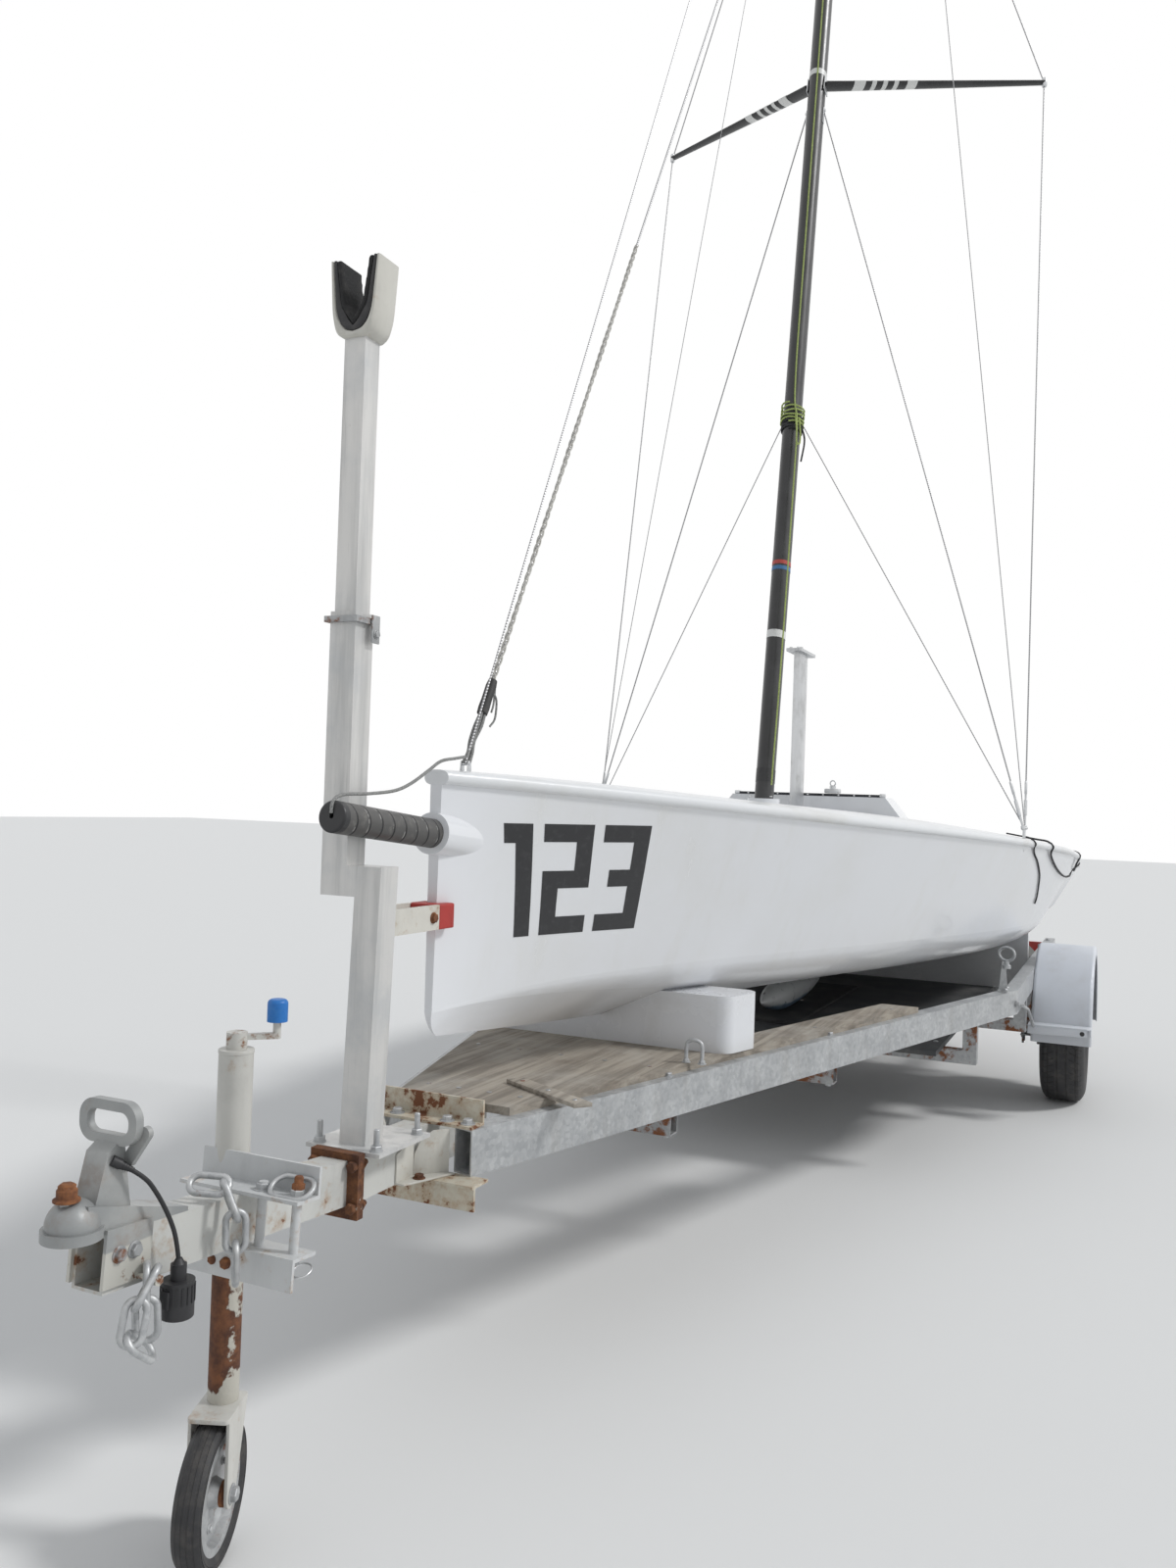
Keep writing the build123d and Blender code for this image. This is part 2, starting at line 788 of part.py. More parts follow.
with BuildPart() as crutch_pads:
    with BuildSketch(crutch_plane):
        Polygon(
            (crutch_tip - 16, crutch_reach), (crutch_half - 20, 62), (0, 22), (-crutch_half + 20, 62),
            (-crutch_tip + 16, crutch_reach), (-crutch_tip + 25, crutch_reach), (-crutch_half + 29, 67),
            (0, 34), (crutch_half - 29, 67), (crutch_tip - 25, crutch_reach), align=None,
        )
    extrude(amount=-crutch_length)
keep("crutch_pads", crutch_pads.part)

# Bow stop: a bracket on the post's aft face, its two arms, and a rubber block that takes the stem
stop_front = abaft_post(post_half)
stop_tail = abaft_post(stop_back)
with BuildPart() as bow_stops:
    with BuildSketch(Plane.XY.offset(up(stop_level) - stop_depth / 2)):
        Polygon(
            (stop_front, 0), (stop_front, stop_half), (stop_tail, stop_half), (stop_tail, stop_half - stop_plate),
            (stop_front - stop_web, stop_half - stop_plate), (stop_front - stop_web, 0), align=None,
        )
        mirror(about=Plane.XZ)
    extrude(amount=stop_depth)
keep("bow_stops", bow_stops.part)

with BuildPart() as bow_pads:
    with BuildSketch(Plane.XY.offset(up(stop_level) - stop_depth / 2)):
        Polygon(
            (stop_tail + stop_plate, 0), (stop_tail + stop_plate, stop_half), (stop_tail - stop_pad, stop_half),
            (stop_tail - stop_pad, 0), align=None,
        )
        mirror(about=Plane.XZ)
    extrude(amount=stop_depth)
    add(hull.part, mode=Mode.SUBTRACT)
    add(bow_stops.part, mode=Mode.SUBTRACT)
keep("bow_pads", bow_pads.part)

# Ball coupling: dome with its socket, flange on the drawbar, cheeks beside it, hook bolt for the chain
dome_x = abaft_post(-dome_ahead)
dome_centre = (dome_x, 0, up(dome_level))
ball_bore = ball_radius + ball_gap
with BuildPart() as coupling:
    with BuildSketch(side_plane(0)):
        Polygon(
            (dome_x, up(dome_level) + dome_radius - 8), (dome_x - 60, up(dome_level) + 14),
            (dome_x - flange_back, up(dome_foot) - 7), (dome_x - flange_back, up(dome_foot) - 30),
            (dome_x - 56, up(dome_foot) - 18), (dome_x - 30, up(dome_foot)), (dome_x, up(dome_foot)), align=None,
        )
    extrude(amount=drawbar_width / 2, both=True)
    with BuildSketch(pull_plane.offset(drawbar_reach)):
        with Locations((0, -drawbar_height / 2)):
            Rectangle(2 * drawbar_width, drawbar_height)
    extrude(amount=-drawbar_reach, mode=Mode.SUBTRACT)
    with Locations(dome_centre):
        Sphere(dome_radius, arc_size1=-degrees(asin((dome_level - dome_foot) / dome_radius)), align=None)
    with BuildSketch(Plane.XY.offset(up(dome_foot))):
        with Locations((dome_x, 0)):
            Circle(dome_radius + dome_skirt)
    extrude(amount=dome_level - dome_foot - 4)
    with BuildSketch(Plane.XY.offset(up(dome_level) + dome_radius - 8)):
        with Locations((dome_x + 12, 0)):
            RegularPolygon(11, 6)
    extrude(amount=28)
    with BuildSketch(pull_plane.offset(drawbar_reach + cheek_thick)):
        for side in (1, -1):
            with Locations((side * (drawbar_width + cheek_thick) / 2, cheek_rise - drawbar_height / 2)):
                Rectangle(cheek_thick, drawbar_height)
    extrude(amount=-cheek_back - cheek_thick)
    with BuildSketch(Plane(origin=(dome_x - hook_back, drawbar_width / 2, up(hook_level)), z_dir=(0, 1, 0))):
        Circle(hook_bolt)
    extrude(amount=hook_side)
    with BuildSketch(Plane(origin=(dome_x - hook_back, drawbar_width / 2 + hook_side - 6, up(hook_level)), z_dir=(0, 1, 0))):
        RegularPolygon(9, 6)
    extrude(amount=6)
    with BuildSketch(Plane.XY.offset(up(dome_foot) - 60)):
        with Locations((dome_x, 0)):
            Circle(ball_bore)
    extrude(amount=60 + socket_depth, mode=Mode.SUBTRACT)
    with Locations((dome_x, 0, up(dome_foot) + ball_seat)):
        Sphere(ball_bore, mode=Mode.SUBTRACT)
keep("coupling", coupling.part.solids().sort_by(SortBy.VOLUME)[-1])

handle_x = abaft_post(-handle_ahead)
handle_level = handle_top - handle_height / 2
with BuildPart() as coupling_handle:
    with BuildSketch(cross_plane(handle_x + handle_thick / 2)):
        with Locations((0, handle_level)):
            RectangleRounded(handle_width, handle_height, 27)
            RectangleRounded(handle_width - 30, handle_height - 30, 15, mode=Mode.SUBTRACT)
    extrude(amount=-handle_thick)
    with BuildSketch(side_plane(0)):
        Polygon(
            (dome_x - 20, up(dome_level) + 20), (dome_x - 40, up(handle_top - handle_height) - 8),
            (handle_x, up(handle_top - handle_height) + 8), (handle_x - handle_thick / 2, up(handle_top - handle_height)),
            (dome_x - 88, up(dome_level) + 6), align=None,
        )
    extrude(amount=21, both=True)
    with BuildSketch(cross_plane(handle_x - handle_thick / 2)):
        with Locations((42, handle_level - 34)):
            SlotOverall(72, 20, rotation=55)
    extrude(amount=-9)
    add(coupling.part, mode=Mode.SUBTRACT)
keep("coupling_handle", coupling_handle.part)

# Safety chain: two runs hang from the hook bolt, one lies over the drawbar and down its port side
# start of the run ahead of the post, to port and above the frame; then each link's heading and slope
chain_runs = [
    ((602, 60, -32), ((0, -48), (4, -76), (180, -38))),
    ((610, 51, -28), ((180, -88), (180, -86))),
    ((462, 1, 50), ((112, -2), (95, -62), (90, -88), (90, -88))),
]
link_half = (chain_pitch + chain_wire + chain_gap) / 2
link_bend = (chain_width - chain_wire) / 2
with BuildPart() as safety_chain:
    for start, turns in chain_runs:
        joint = Vector(abaft_post(-start[0]), start[1], up(start[2]))
        for count, (heading, slope) in enumerate(turns):
            flat = cos(radians(slope))
            along = Vector(flat * cos(radians(heading)), flat * sin(radians(heading)), sin(radians(slope)))
            across = Vector(-sin(radians(heading)), cos(radians(heading)), 0)
            way = 1 if count % 2 else -1
            face_way = across * cos(radians(chain_twist)) + along.cross(across) * way * sin(radians(chain_twist))
            link_plane = Plane(origin=joint + along * (chain_pitch / 2), x_dir=along, z_dir=face_way)
            with BuildLine(link_plane) as link:
                Line((-link_half + link_bend, link_bend), (link_half - link_bend, link_bend))
                ThreePointArc((link_half - link_bend, link_bend), (link_half, 0), (link_half - link_bend, -link_bend))
                Line((link_half - link_bend, -link_bend), (-link_half + link_bend, -link_bend))
                ThreePointArc((-link_half + link_bend, -link_bend), (-link_half, 0), (-link_half + link_bend, link_bend))
            with BuildSketch(Plane(origin=link.line @ 0, z_dir=link.line % 0)):
                Circle(chain_wire / 2)
            sweep(path=link.line)
            joint = joint + along * chain_pitch
    add(coupling.part, mode=Mode.SUBTRACT)
keep("safety_chain", safety_chain.part)

# Lamp cable: a loose cord from a gland on the handle's housing down to its plug at the drawbar's port side
cable_points = [
    (646, 27, 132), (618, 46, 112), (596, 54, 78), (578, 60, 42), (564, 64, 4), (558, 64, -34),
]
cable_path = [Vector(abaft_post(-ahead), port, up(level)) for ahead, port, level in cable_points]
cable_bends = []
for before, here, after in zip(cable_path, cable_path[1:], cable_path[2:]):
    coming = here - before
    going = after - here
    half_turn = radians(coming.get_angle(going)) / 2
    cable_bends.append(0.45 * min(coming.length, going.length) / tan(half_turn))
print("cable bend radii", [round(radius, 1) for radius in cable_bends])
with BuildPart() as lamp_cable:
    with BuildLine() as cable_line:
        FilletPolyline(*cable_path, radius=cable_bends)
    cable_wire = cable_line.wires()[0]
    with BuildSketch(Plane(origin=cable_wire @ 0, z_dir=cable_wire % 0)):
        Circle(cable_radius)
    sweep(path=cable_wire)
cable_length = cable_wire.length
print("cable length", round(cable_length, 1), "volume ratio", lamp_cable.part.volume / (pi * cable_radius**2 * cable_length))
keep("lamp_cable", lamp_cable.part)

plug_top = cable_path[-1]
with BuildPart() as cable_plug:
    with BuildSketch(Plane(origin=plug_top, z_dir=(0, 0, -1))):
        Circle(cable_plug_neck)
    extrude(amount=26)
    with BuildSketch(Plane(origin=plug_top - Vector(0, 0, 24), z_dir=(0, 0, -1))):
        Circle(cable_plug_radius)
    extrude(amount=cable_plug_length)
    fillet(cable_plug.edges().filter_by(GeomType.CIRCLE).group_by(Axis.Z)[0], 3)
    with BuildSketch(Plane(origin=cable_path[0], z_dir=cable_path[0] - cable_path[1])):
        Circle(cable_gland)
    extrude(amount=14)
    add(coupling_handle.part, mode=Mode.SUBTRACT)
    add(lamp_cable.part, mode=Mode.SUBTRACT)
keep("cable_plug", cable_plug.part)

# Jockey wheel clamp: an angle above the drawbar, an angle below it, two bolts to port of it
jockey_x = abaft_post(-jockey_ahead)
clamp_start = (jockey_ahead + jockey_tube_radius - clamp_bite - joint_ahead) / cos(tilt)
clamp_middle = (clamp_port - clamp_starboard) / 2
clamp_long = clamp_port + clamp_starboard
with BuildPart() as jockey_clamp:
    with BuildSketch(pull_plane.offset(clamp_start)):
        with Locations((clamp_middle, 0)):
            Rectangle(clamp_long, clamp_thick, align=(Align.CENTER, Align.MIN))
        with Locations((clamp_middle, -drawbar_height)):
            Rectangle(clamp_long, clamp_thick, align=(Align.CENTER, Align.MAX))
    extrude(amount=clamp_ledge)
    with BuildSketch(pull_plane.offset(clamp_start)):
        with Locations((clamp_middle, 0)):
            Rectangle(clamp_long, clamp_leaf, align=(Align.CENTER, Align.MIN))
    extrude(amount=clamp_thick)
    with BuildSketch(pull_plane.offset(clamp_start + clamp_ledge - clamp_thick)):
        with Locations((clamp_middle, -drawbar_height)):
            Rectangle(clamp_long, clamp_leaf, align=(Align.CENTER, Align.MAX))
    extrude(amount=clamp_thick)
    bolt_plane = Plane(
        origin=(pull_plane.offset(clamp_start + clamp_ledge / 2).origin),
        x_dir=pull_plane.z_dir,
        z_dir=pull_plane.y_dir,
    )
    with BuildSketch(bolt_plane.offset(-drawbar_height - clamp_thick - 14)):
        for port in clamp_bolt_places:
            with Locations((0, port)):
                Circle(clamp_bolt)
    extrude(amount=drawbar_height + 2 * clamp_thick + 28)
    with BuildSketch(Plane.XY.offset(up(jockey_tube_foot))):
        with Locations((jockey_x, -jockey_side)):
            Circle(jockey_tube_radius)
    extrude(amount=jockey_tube_top - jockey_tube_foot, mode=Mode.SUBTRACT)
keep("jockey_clamp", jockey_clamp.part)

with BuildPart() as jockey_tube:
    with BuildSketch(Plane.XY.offset(up(jockey_tube_foot))):
        with Locations((jockey_x, -jockey_side)):
            Circle(jockey_tube_radius)
            Circle(jockey_tube_radius - jockey_tube_wall, mode=Mode.SUBTRACT)
    extrude(amount=jockey_tube_top - jockey_tube_foot)
keep("jockey_tube", jockey_tube.part)

crank_angle = radians(crank_turn)
crank_end = Vector(jockey_x + crank_reach * cos(crank_angle), -jockey_side + crank_reach * sin(crank_angle), 0)
arm_level = up(jockey_tube_top) + jockey_cap - crank_thick
with BuildPart() as jockey_crank:
    with BuildSketch(Plane.XY.offset(up(jockey_tube_top))):
        with Locations((jockey_x, -jockey_side)):
            Circle(crank_cap)
    extrude(amount=jockey_cap)
    with BuildSketch(Plane(origin=(jockey_x, -jockey_side, arm_level), x_dir=(cos(crank_angle), sin(crank_angle), 0))):
        with Locations((crank_reach / 2, 0)):
            SlotOverall(crank_reach + crank_thick, crank_thick)
    extrude(amount=crank_thick - 4)
    with BuildSketch(Plane.XY.offset(arm_level)):
        with Locations((crank_end.X, crank_end.Y)):
            Circle(crank_thick / 2)
    extrude(amount=crank_rise + crank_thick)
    with BuildSketch(Plane.XY.offset(arm_level + crank_rise)):
        with Locations((crank_end.X, crank_end.Y)):
            Circle(knob_radius)
    extrude(amount=knob_height)
    fillet(jockey_crank.edges().group_by(Axis.Z)[-1], 8)
keep("jockey_crank", jockey_crank.part)

# Sliding leg, swivelling fork and wheel
leg_foot = 2 * jockey_wheel_radius + fork_gap + fork_crown + seat_gap
with BuildPart() as jockey_leg:
    with BuildSketch(Plane.XY.offset(leg_foot)):
        with Locations((jockey_x, -jockey_side)):
            Circle(jockey_leg_radius)
    extrude(amount=up(jockey_leg_top) - leg_foot)
    with BuildSketch(Plane.XY.offset(leg_foot)):
        with Locations((jockey_x, -jockey_side)):
            Circle(swivel_radius + bearing_gap)
    extrude(amount=swivel_length + seat_gap, mode=Mode.SUBTRACT)
keep("jockey_leg", jockey_leg.part)

turn = radians(jockey_turn)
fork_plane = Plane(
    origin=(jockey_x, -jockey_side, 0),
    x_dir=(cos(turn), sin(turn), 0),
    z_dir=(0, 0, 1),
)
jockey_axle = fork_plane.origin + fork_plane.x_dir * jockey_trail + Vector(0, 0, jockey_wheel_radius)
axle_plane = Plane(origin=jockey_axle, x_dir=fork_plane.x_dir, z_dir=-fork_plane.y_dir)
fork_half = jockey_wheel_width / 2 + fork_gap
crown_level = leg_foot - seat_gap
with BuildPart() as jockey_fork:
    with BuildSketch(fork_plane.offset(crown_level - fork_crown)):
        with Locations((jockey_trail / 2, 0)):
            RectangleRounded(jockey_trail + fork_width + 16, 2 * fork_half + 2 * fork_thick, 8)
    extrude(amount=fork_crown)
    with BuildSketch(fork_plane.offset(crown_level)):
        Circle(swivel_radius)
    extrude(amount=swivel_length)
    for side in (1, -1):
        with BuildSketch(axle_plane.offset(side * fork_half)):
            Polygon(
                (-fork_width / 2, 0), (fork_width / 2, 0), (fork_width / 2, jockey_wheel_radius + fork_gap),
                (-jockey_trail - fork_width / 2, jockey_wheel_radius + fork_gap), align=None,
            )
            Circle(fork_width / 2)
        extrude(amount=side * fork_thick)
    with BuildSketch(axle_plane.offset(-fork_half - fork_thick - 10)):
        Circle(fork_bolt)
    extrude(amount=2 * (fork_half + fork_thick + 10))
keep("jockey_fork", jockey_fork.part)

jockey_rim_half = jockey_rim_width / 2
jockey_rim_outer = jockey_rim_radius + jockey_rim_flange
radial_plane = Plane(origin=jockey_axle, x_dir=axle_plane.z_dir, z_dir=axle_plane.x_dir)
with BuildPart() as jockey_rim:
    with BuildSketch(radial_plane):
        Polygon(
            (-jockey_rim_half, fork_bolt + bearing_gap), (-jockey_rim_half, 20), (-4, 26), (-4, jockey_rim_radius - 8),
            (-jockey_rim_half, jockey_rim_radius - 3), (-jockey_rim_half, jockey_rim_outer),
            (-jockey_rim_half + 3, jockey_rim_outer), (-jockey_rim_half + 3, jockey_rim_radius),
            (jockey_rim_half - 3, jockey_rim_radius), (jockey_rim_half - 3, jockey_rim_outer),
            (jockey_rim_half, jockey_rim_outer), (jockey_rim_half, jockey_rim_radius - 3), (4, jockey_rim_radius - 8),
            (4, 26), (jockey_rim_half, 20), (jockey_rim_half, fork_bolt + bearing_gap), align=None,
        )
    revolve(axis=Axis(jockey_axle, axle_plane.z_dir))
keep("jockey_rim", jockey_rim.part)

jockey_tread = jockey_wheel_width / 2
with BuildPart() as jockey_tyre:
    with BuildSketch(radial_plane):
        with BuildLine():
            bead = jockey_rim_half - 3
            shoulder = jockey_wheel_radius - 12
            Polyline((jockey_tread, shoulder), (jockey_rim_half, jockey_rim_outer), (bead, jockey_rim_outer))
            Polyline((bead, jockey_rim_outer), (bead, jockey_rim_radius), (-bead, jockey_rim_radius))
            Polyline((-bead, jockey_rim_radius), (-bead, jockey_rim_outer), (-jockey_rim_half, jockey_rim_outer))
            Line((-jockey_rim_half, jockey_rim_outer), (-jockey_tread, shoulder))
            ThreePointArc((-jockey_tread, shoulder), (0, jockey_wheel_radius), (jockey_tread, shoulder))
        make_face()
    revolve(axis=Axis(jockey_axle, axle_plane.z_dir))
keep("jockey_tyre", jockey_tyre.part)

# Road axle with its stubs, leaf springs and hangers under the rails
axle_level = tyre_radius
axle_x = abaft_post(axle_aft)
beam_half = wheel_half_track - 117
with BuildPart() as axle:
    with Locations((axle_x, 0, axle_level)):
        Box(axle_size, 2 * beam_half, axle_size)
    with BuildSketch(side_plane(beam_half + stub_length)):
        with Locations((axle_x, axle_level)):
            Circle(stub_radius)
    extrude(amount=2 * (beam_half + stub_length))
keep("axle", axle.part)

eye_level = up(spring_eye_level)
saddle = axle_level + axle_size / 2
hanger_top = up(-rail_height)
with BuildPart() as springs:
    for side in (1, -1):
        with BuildSketch(side_plane(side * spring_y)):
            with BuildLine():
                rear = axle_x - spring_half
                front = axle_x + spring_half
                ThreePointArc((rear, eye_level), (axle_x, saddle), (front, eye_level))
                Line((front, eye_level), (front, eye_level + spring_leaf))
                ThreePointArc((front, eye_level + spring_leaf), (axle_x, saddle + spring_leaf), (rear, eye_level + spring_leaf))
                Line((rear, eye_level + spring_leaf), (rear, eye_level))
            make_face()
            with Locations((rear, hanger_top), (front, hanger_top)):
                Rectangle(2 * spring_eye, hanger_top - eye_level + spring_eye / 2, align=(Align.CENTER, Align.MAX))
        extrude(amount=spring_width / 2, both=True)
keep("springs", springs.part)

# Road wheels and mudguards
rim_half = rim_width / 2
rim_outer = rim_radius + rim_flange
hub_inner = beam_half + seat_gap - wheel_half_track
hub_outer = beam_half + stub_length + 4 - wheel_half_track
for name, side in (("port", 1), ("starboard", -1)):
    wheel_centre = (axle_x, side * wheel_half_track, axle_level)
    wheel_plane = Plane(origin=wheel_centre, x_dir=(0, side, 0), z_dir=(side, 0, 0))
    wheel_axis = Axis(wheel_centre, (0, 1, 0))
    with BuildPart() as wheel:
        with BuildSketch(wheel_plane):
            Polygon(
                (hub_inner, stub_radius + bearing_gap), (hub_inner, hub_radius), (disc_inset - disc_thick, hub_radius),
                (disc_inset - disc_thick, rim_radius - 8), (-rim_half, rim_radius - rim_edge), (-rim_half, rim_outer),
                (-rim_half + rim_edge, rim_outer), (-rim_half + rim_edge, rim_radius),
                (rim_half - rim_edge, rim_radius), (rim_half - rim_edge, rim_outer), (rim_half, rim_outer),
                (rim_half, rim_radius - rim_edge), (disc_inset, rim_radius - 8), (disc_inset, hub_radius),
                (hub_outer, hub_radius - 24), (hub_outer + cap_length, hub_radius - 30), (hub_outer + cap_length, 0),
                (hub_outer, 0), (hub_outer, stub_radius + bearing_gap), align=None,
            )
        revolve(axis=wheel_axis)
    keep("wheel_" + name, wheel.part)
    with BuildPart() as tyre:
        with BuildSketch(wheel_plane):
            with BuildLine():
                bead = rim_half - rim_edge
                flank = tyre_width / 2
                tread = flank * 0.74
                Polyline((bead, rim_outer), (bead, rim_radius), (-bead, rim_radius), (-bead, rim_outer))
                for way in (1, -1):
                    Line((way * bead, rim_outer), (way * rim_half, rim_outer))
                    ThreePointArc(
                        (way * rim_half, rim_outer), (way * flank, (rim_outer + tyre_radius) / 2),
                        (way * tread, tyre_radius - 6),
                    )
                ThreePointArc((tread, tyre_radius - 6), (0, tyre_radius), (-tread, tyre_radius - 6))
            make_face()
        revolve(axis=wheel_axis)
    keep("tyre_" + name, tyre.part)

guard_inner = guard_radius - guard_side
guard_half = guard_width / 2
lining = guard_half - guard_skin
with BuildPart() as mudguards:
    for side in (1, -1):
        guard_centre = (axle_x, side * wheel_half_track, axle_level)
        with BuildSketch(Plane(origin=guard_centre, x_dir=(0, 1, 0), z_dir=(0, 0, -1))):
            with BuildLine():
                FilletPolyline(
                    (-guard_half, guard_inner), (-guard_half, guard_radius), (guard_half, guard_radius),
                    (guard_half, guard_inner), radius=guard_corner,
                )
                Line((guard_half, guard_inner), (lining, guard_inner))
                FilletPolyline(
                    (lining, guard_inner), (lining, guard_radius - guard_skin), (-lining, guard_radius - guard_skin),
                    (-lining, guard_inner), radius=guard_corner - guard_skin,
                )
                Line((-lining, guard_inner), (-guard_half, guard_inner))
            make_face()
        revolve(axis=Axis(guard_centre, (0, -1, 0)), revolution_arc=180)
keep("mudguards", mudguards.part)

# Tie-down brackets on the rails, boards over the nose, keel platform and mat
with BuildPart() as tie_downs:
    for side in (1, -1):
        middle = side * rail_half(tie_down_aft, rail_width / 2)
        with Locations((abaft_post(tie_down_aft), middle, up(4))):
            Box(60, 36, 8)
        with BuildSketch(cross_plane(abaft_post(tie_down_aft))):
            Polygon(
                (middle - 16, 8), (middle + 16, 8), (middle + 6, tie_down_height), (middle - 6, tie_down_height),
                align=None,
            )
        extrude(amount=4, both=True)
keep("tie_downs", tie_downs.part)

with BuildPart() as deck_boards:
    with BuildSketch(Plane.XY.offset(up(0))):
        Polygon(
            (abaft_post(board_front), rail_half(board_front) + board_over),
            (abaft_post(board_break), rail_half(board_break) + board_over),
            (abaft_post(board_break), 0), (abaft_post(board_front), 0), align=None,
        )
        Polygon(
            (abaft_post(board_break), rail_half(board_break) + board_over),
            (abaft_post(board_tail), rail_half(board_tail) + board_over),
            (abaft_post(board_tail), rail_half(board_tail) + board_over - board_strip),
            (abaft_post(board_break), rail_half(board_break) + board_over - board_strip), align=None,
        )
        mirror(about=Plane.XZ)
    extrude(amount=board_thick)
keep("deck_boards", deck_boards.part)

with BuildPart() as platform:
    with Locations((abaft_post((platform_front + platform_tail) / 2), 0, up(drop_top) + board_thick / 2)):
        Box(platform_tail - platform_front, 2 * platform_half, board_thick)
keep("platform", platform.part)

with BuildPart() as keel_mat:
    with Locations((abaft_post(mat_front + mat_length / 2), 0, up(platform_top) + mat_thick / 2)):
        Box(mat_length, 2 * mat_half, mat_thick)
keep("keel_mat", keel_mat.part)

# Hull cradles, their tops shaped to the hull
cradle_face = abaft_post(cradle_front_aft)
with BuildPart() as cradle_front:
    with BuildSketch(Plane.XY.offset(up(board_thick))):
        Polygon(
            (cradle_face, cradle_half), (cradle_face - cradle_length, cradle_half + cradle_length * splay_out / splay_ahead),
            (cradle_face - cradle_length, 0), (cradle_face, 0), align=None,
        )
        mirror(about=Plane.XZ)
    extrude(amount=cradle_height)
    fillet(cradle_front.edges().filter_by(Axis.Z), cradle_corner)
    add(hull.part, mode=Mode.SUBTRACT)
keep("cradle_front", cradle_front.part)

with BuildPart() as cradle_rear:
    with BuildSketch(Plane.XY.offset(up(platform_top))):
        with Locations((abaft_post(cradle_rear_aft), 0)):
            Rectangle(cradle_rear_length, 2 * cradle_rear_half)
    extrude(amount=420)
    add(hull.part, mode=Mode.SUBTRACT)
    add(deck.part, mode=Mode.SUBTRACT)
keep("cradle_rear", cradle_rear.part.solids().sort_by(Axis.Z)[0])

# Lamp board across the tail of the rails
board_x = abaft_post(rail_tail)
lamp_level = up(-lamp_board_drop - lamp_board_height / 2)
lamp_x = board_x - lamp_board_thick - lamp_depth / 2
with BuildPart() as lamp_board:
    with Locations((board_x - lamp_board_thick / 2, 0, lamp_level)):
        Box(lamp_board_thick, 2 * rail_bend_half, lamp_board_height)
keep("lamp_board", lamp_board.part)

with BuildPart() as lamps:
    with Locations(*[(lamp_x, side * (rail_bend_half - lamp_length), lamp_level) for side in (1, -1)]):
        Box(lamp_depth, lamp_length, lamp_board_height - 14)
keep("lamps", lamps.part)

for label, piece in pieces.items():
    export_step(piece, f"parts/{label}.step")
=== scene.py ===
import bmesh
import bpy
import random
from math import ceil, cos, pi, radians, sin, sqrt
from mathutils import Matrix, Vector
from mathutils.bvhtree import BVHTree


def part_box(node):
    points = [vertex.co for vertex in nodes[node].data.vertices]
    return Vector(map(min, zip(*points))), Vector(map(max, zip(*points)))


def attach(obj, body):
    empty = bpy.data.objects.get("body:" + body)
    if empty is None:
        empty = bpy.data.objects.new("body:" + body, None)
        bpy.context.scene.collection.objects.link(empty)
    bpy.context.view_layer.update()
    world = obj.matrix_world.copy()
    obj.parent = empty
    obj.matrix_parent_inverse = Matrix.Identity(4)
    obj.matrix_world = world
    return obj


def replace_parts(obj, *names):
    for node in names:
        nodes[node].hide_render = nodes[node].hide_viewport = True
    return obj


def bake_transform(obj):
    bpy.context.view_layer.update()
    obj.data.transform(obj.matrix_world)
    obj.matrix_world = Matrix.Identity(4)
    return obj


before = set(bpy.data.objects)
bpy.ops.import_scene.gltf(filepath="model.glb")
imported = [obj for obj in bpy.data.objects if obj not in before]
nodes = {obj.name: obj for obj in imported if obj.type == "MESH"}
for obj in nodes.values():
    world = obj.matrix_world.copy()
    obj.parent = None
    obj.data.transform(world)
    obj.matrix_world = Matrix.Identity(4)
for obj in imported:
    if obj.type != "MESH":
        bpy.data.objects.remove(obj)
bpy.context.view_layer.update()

# Camera, about chest height off the port bow, as a walker with a phone would hold it.
# The place and the turn are in the outfit's own frame, and the lens is for a 1200 by 1600 picture.
camera_place = (4.639, 1.367, 1.322)
camera_turn = (90.929, -1.956, 114.53)
picture_height = 1600
lens_pixels = 1230.1
camera_data = bpy.data.cameras.new("camera")
camera_data.sensor_fit = "VERTICAL"
camera_data.sensor_height = 24
camera_data.lens = 24 * lens_pixels / picture_height
camera_data.clip_start = 0.05
camera_data.clip_end = 200


def placed(name, data):
    """A new object in the scene, from its data."""
    piece = bpy.data.objects.new(name, data)
    bpy.context.scene.collection.objects.link(piece)
    return piece


camera = placed("camera", camera_data)
camera.location = camera_place
camera.rotation_euler = [radians(turn) for turn in camera_turn]
bpy.context.scene.camera = camera
bpy.context.scene.view_settings.view_transform = "Standard"

# Hull: a white gelcoat moulding, polished once and since rained on and dusted in the yard.
# The outfit's datums come first, then the helpers and the finishes that later sections share.
mm = 0.001
up = Vector((0, 0, 1))
down = Vector((0, 0, -1))
post_low, post_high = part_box("post_inner")
post_x = ((Vector(post_low) + Vector(post_high)) / 2).x
stem_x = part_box("deck")[1][0]
transom_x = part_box("deck")[0][0]
frame_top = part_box("rails")[1][2]
stem_ahead = -230
mast_aft = 2.48
keel_aft = 2.99


def spot(ahead, port, level):
    """A place in mm ahead of the mast post, to port of the middle and above the trailer frame."""
    return Vector((post_x + ahead * mm, port * mm, frame_top + level * mm))


def around(centre, first, second, sides, start=0.0):
    """Places round an oval, from its two half axes."""
    angles = [start + 2 * pi * step / sides for step in range(sides)]
    return [Vector(centre) + first * cos(angle) + second * sin(angle) for angle in angles]


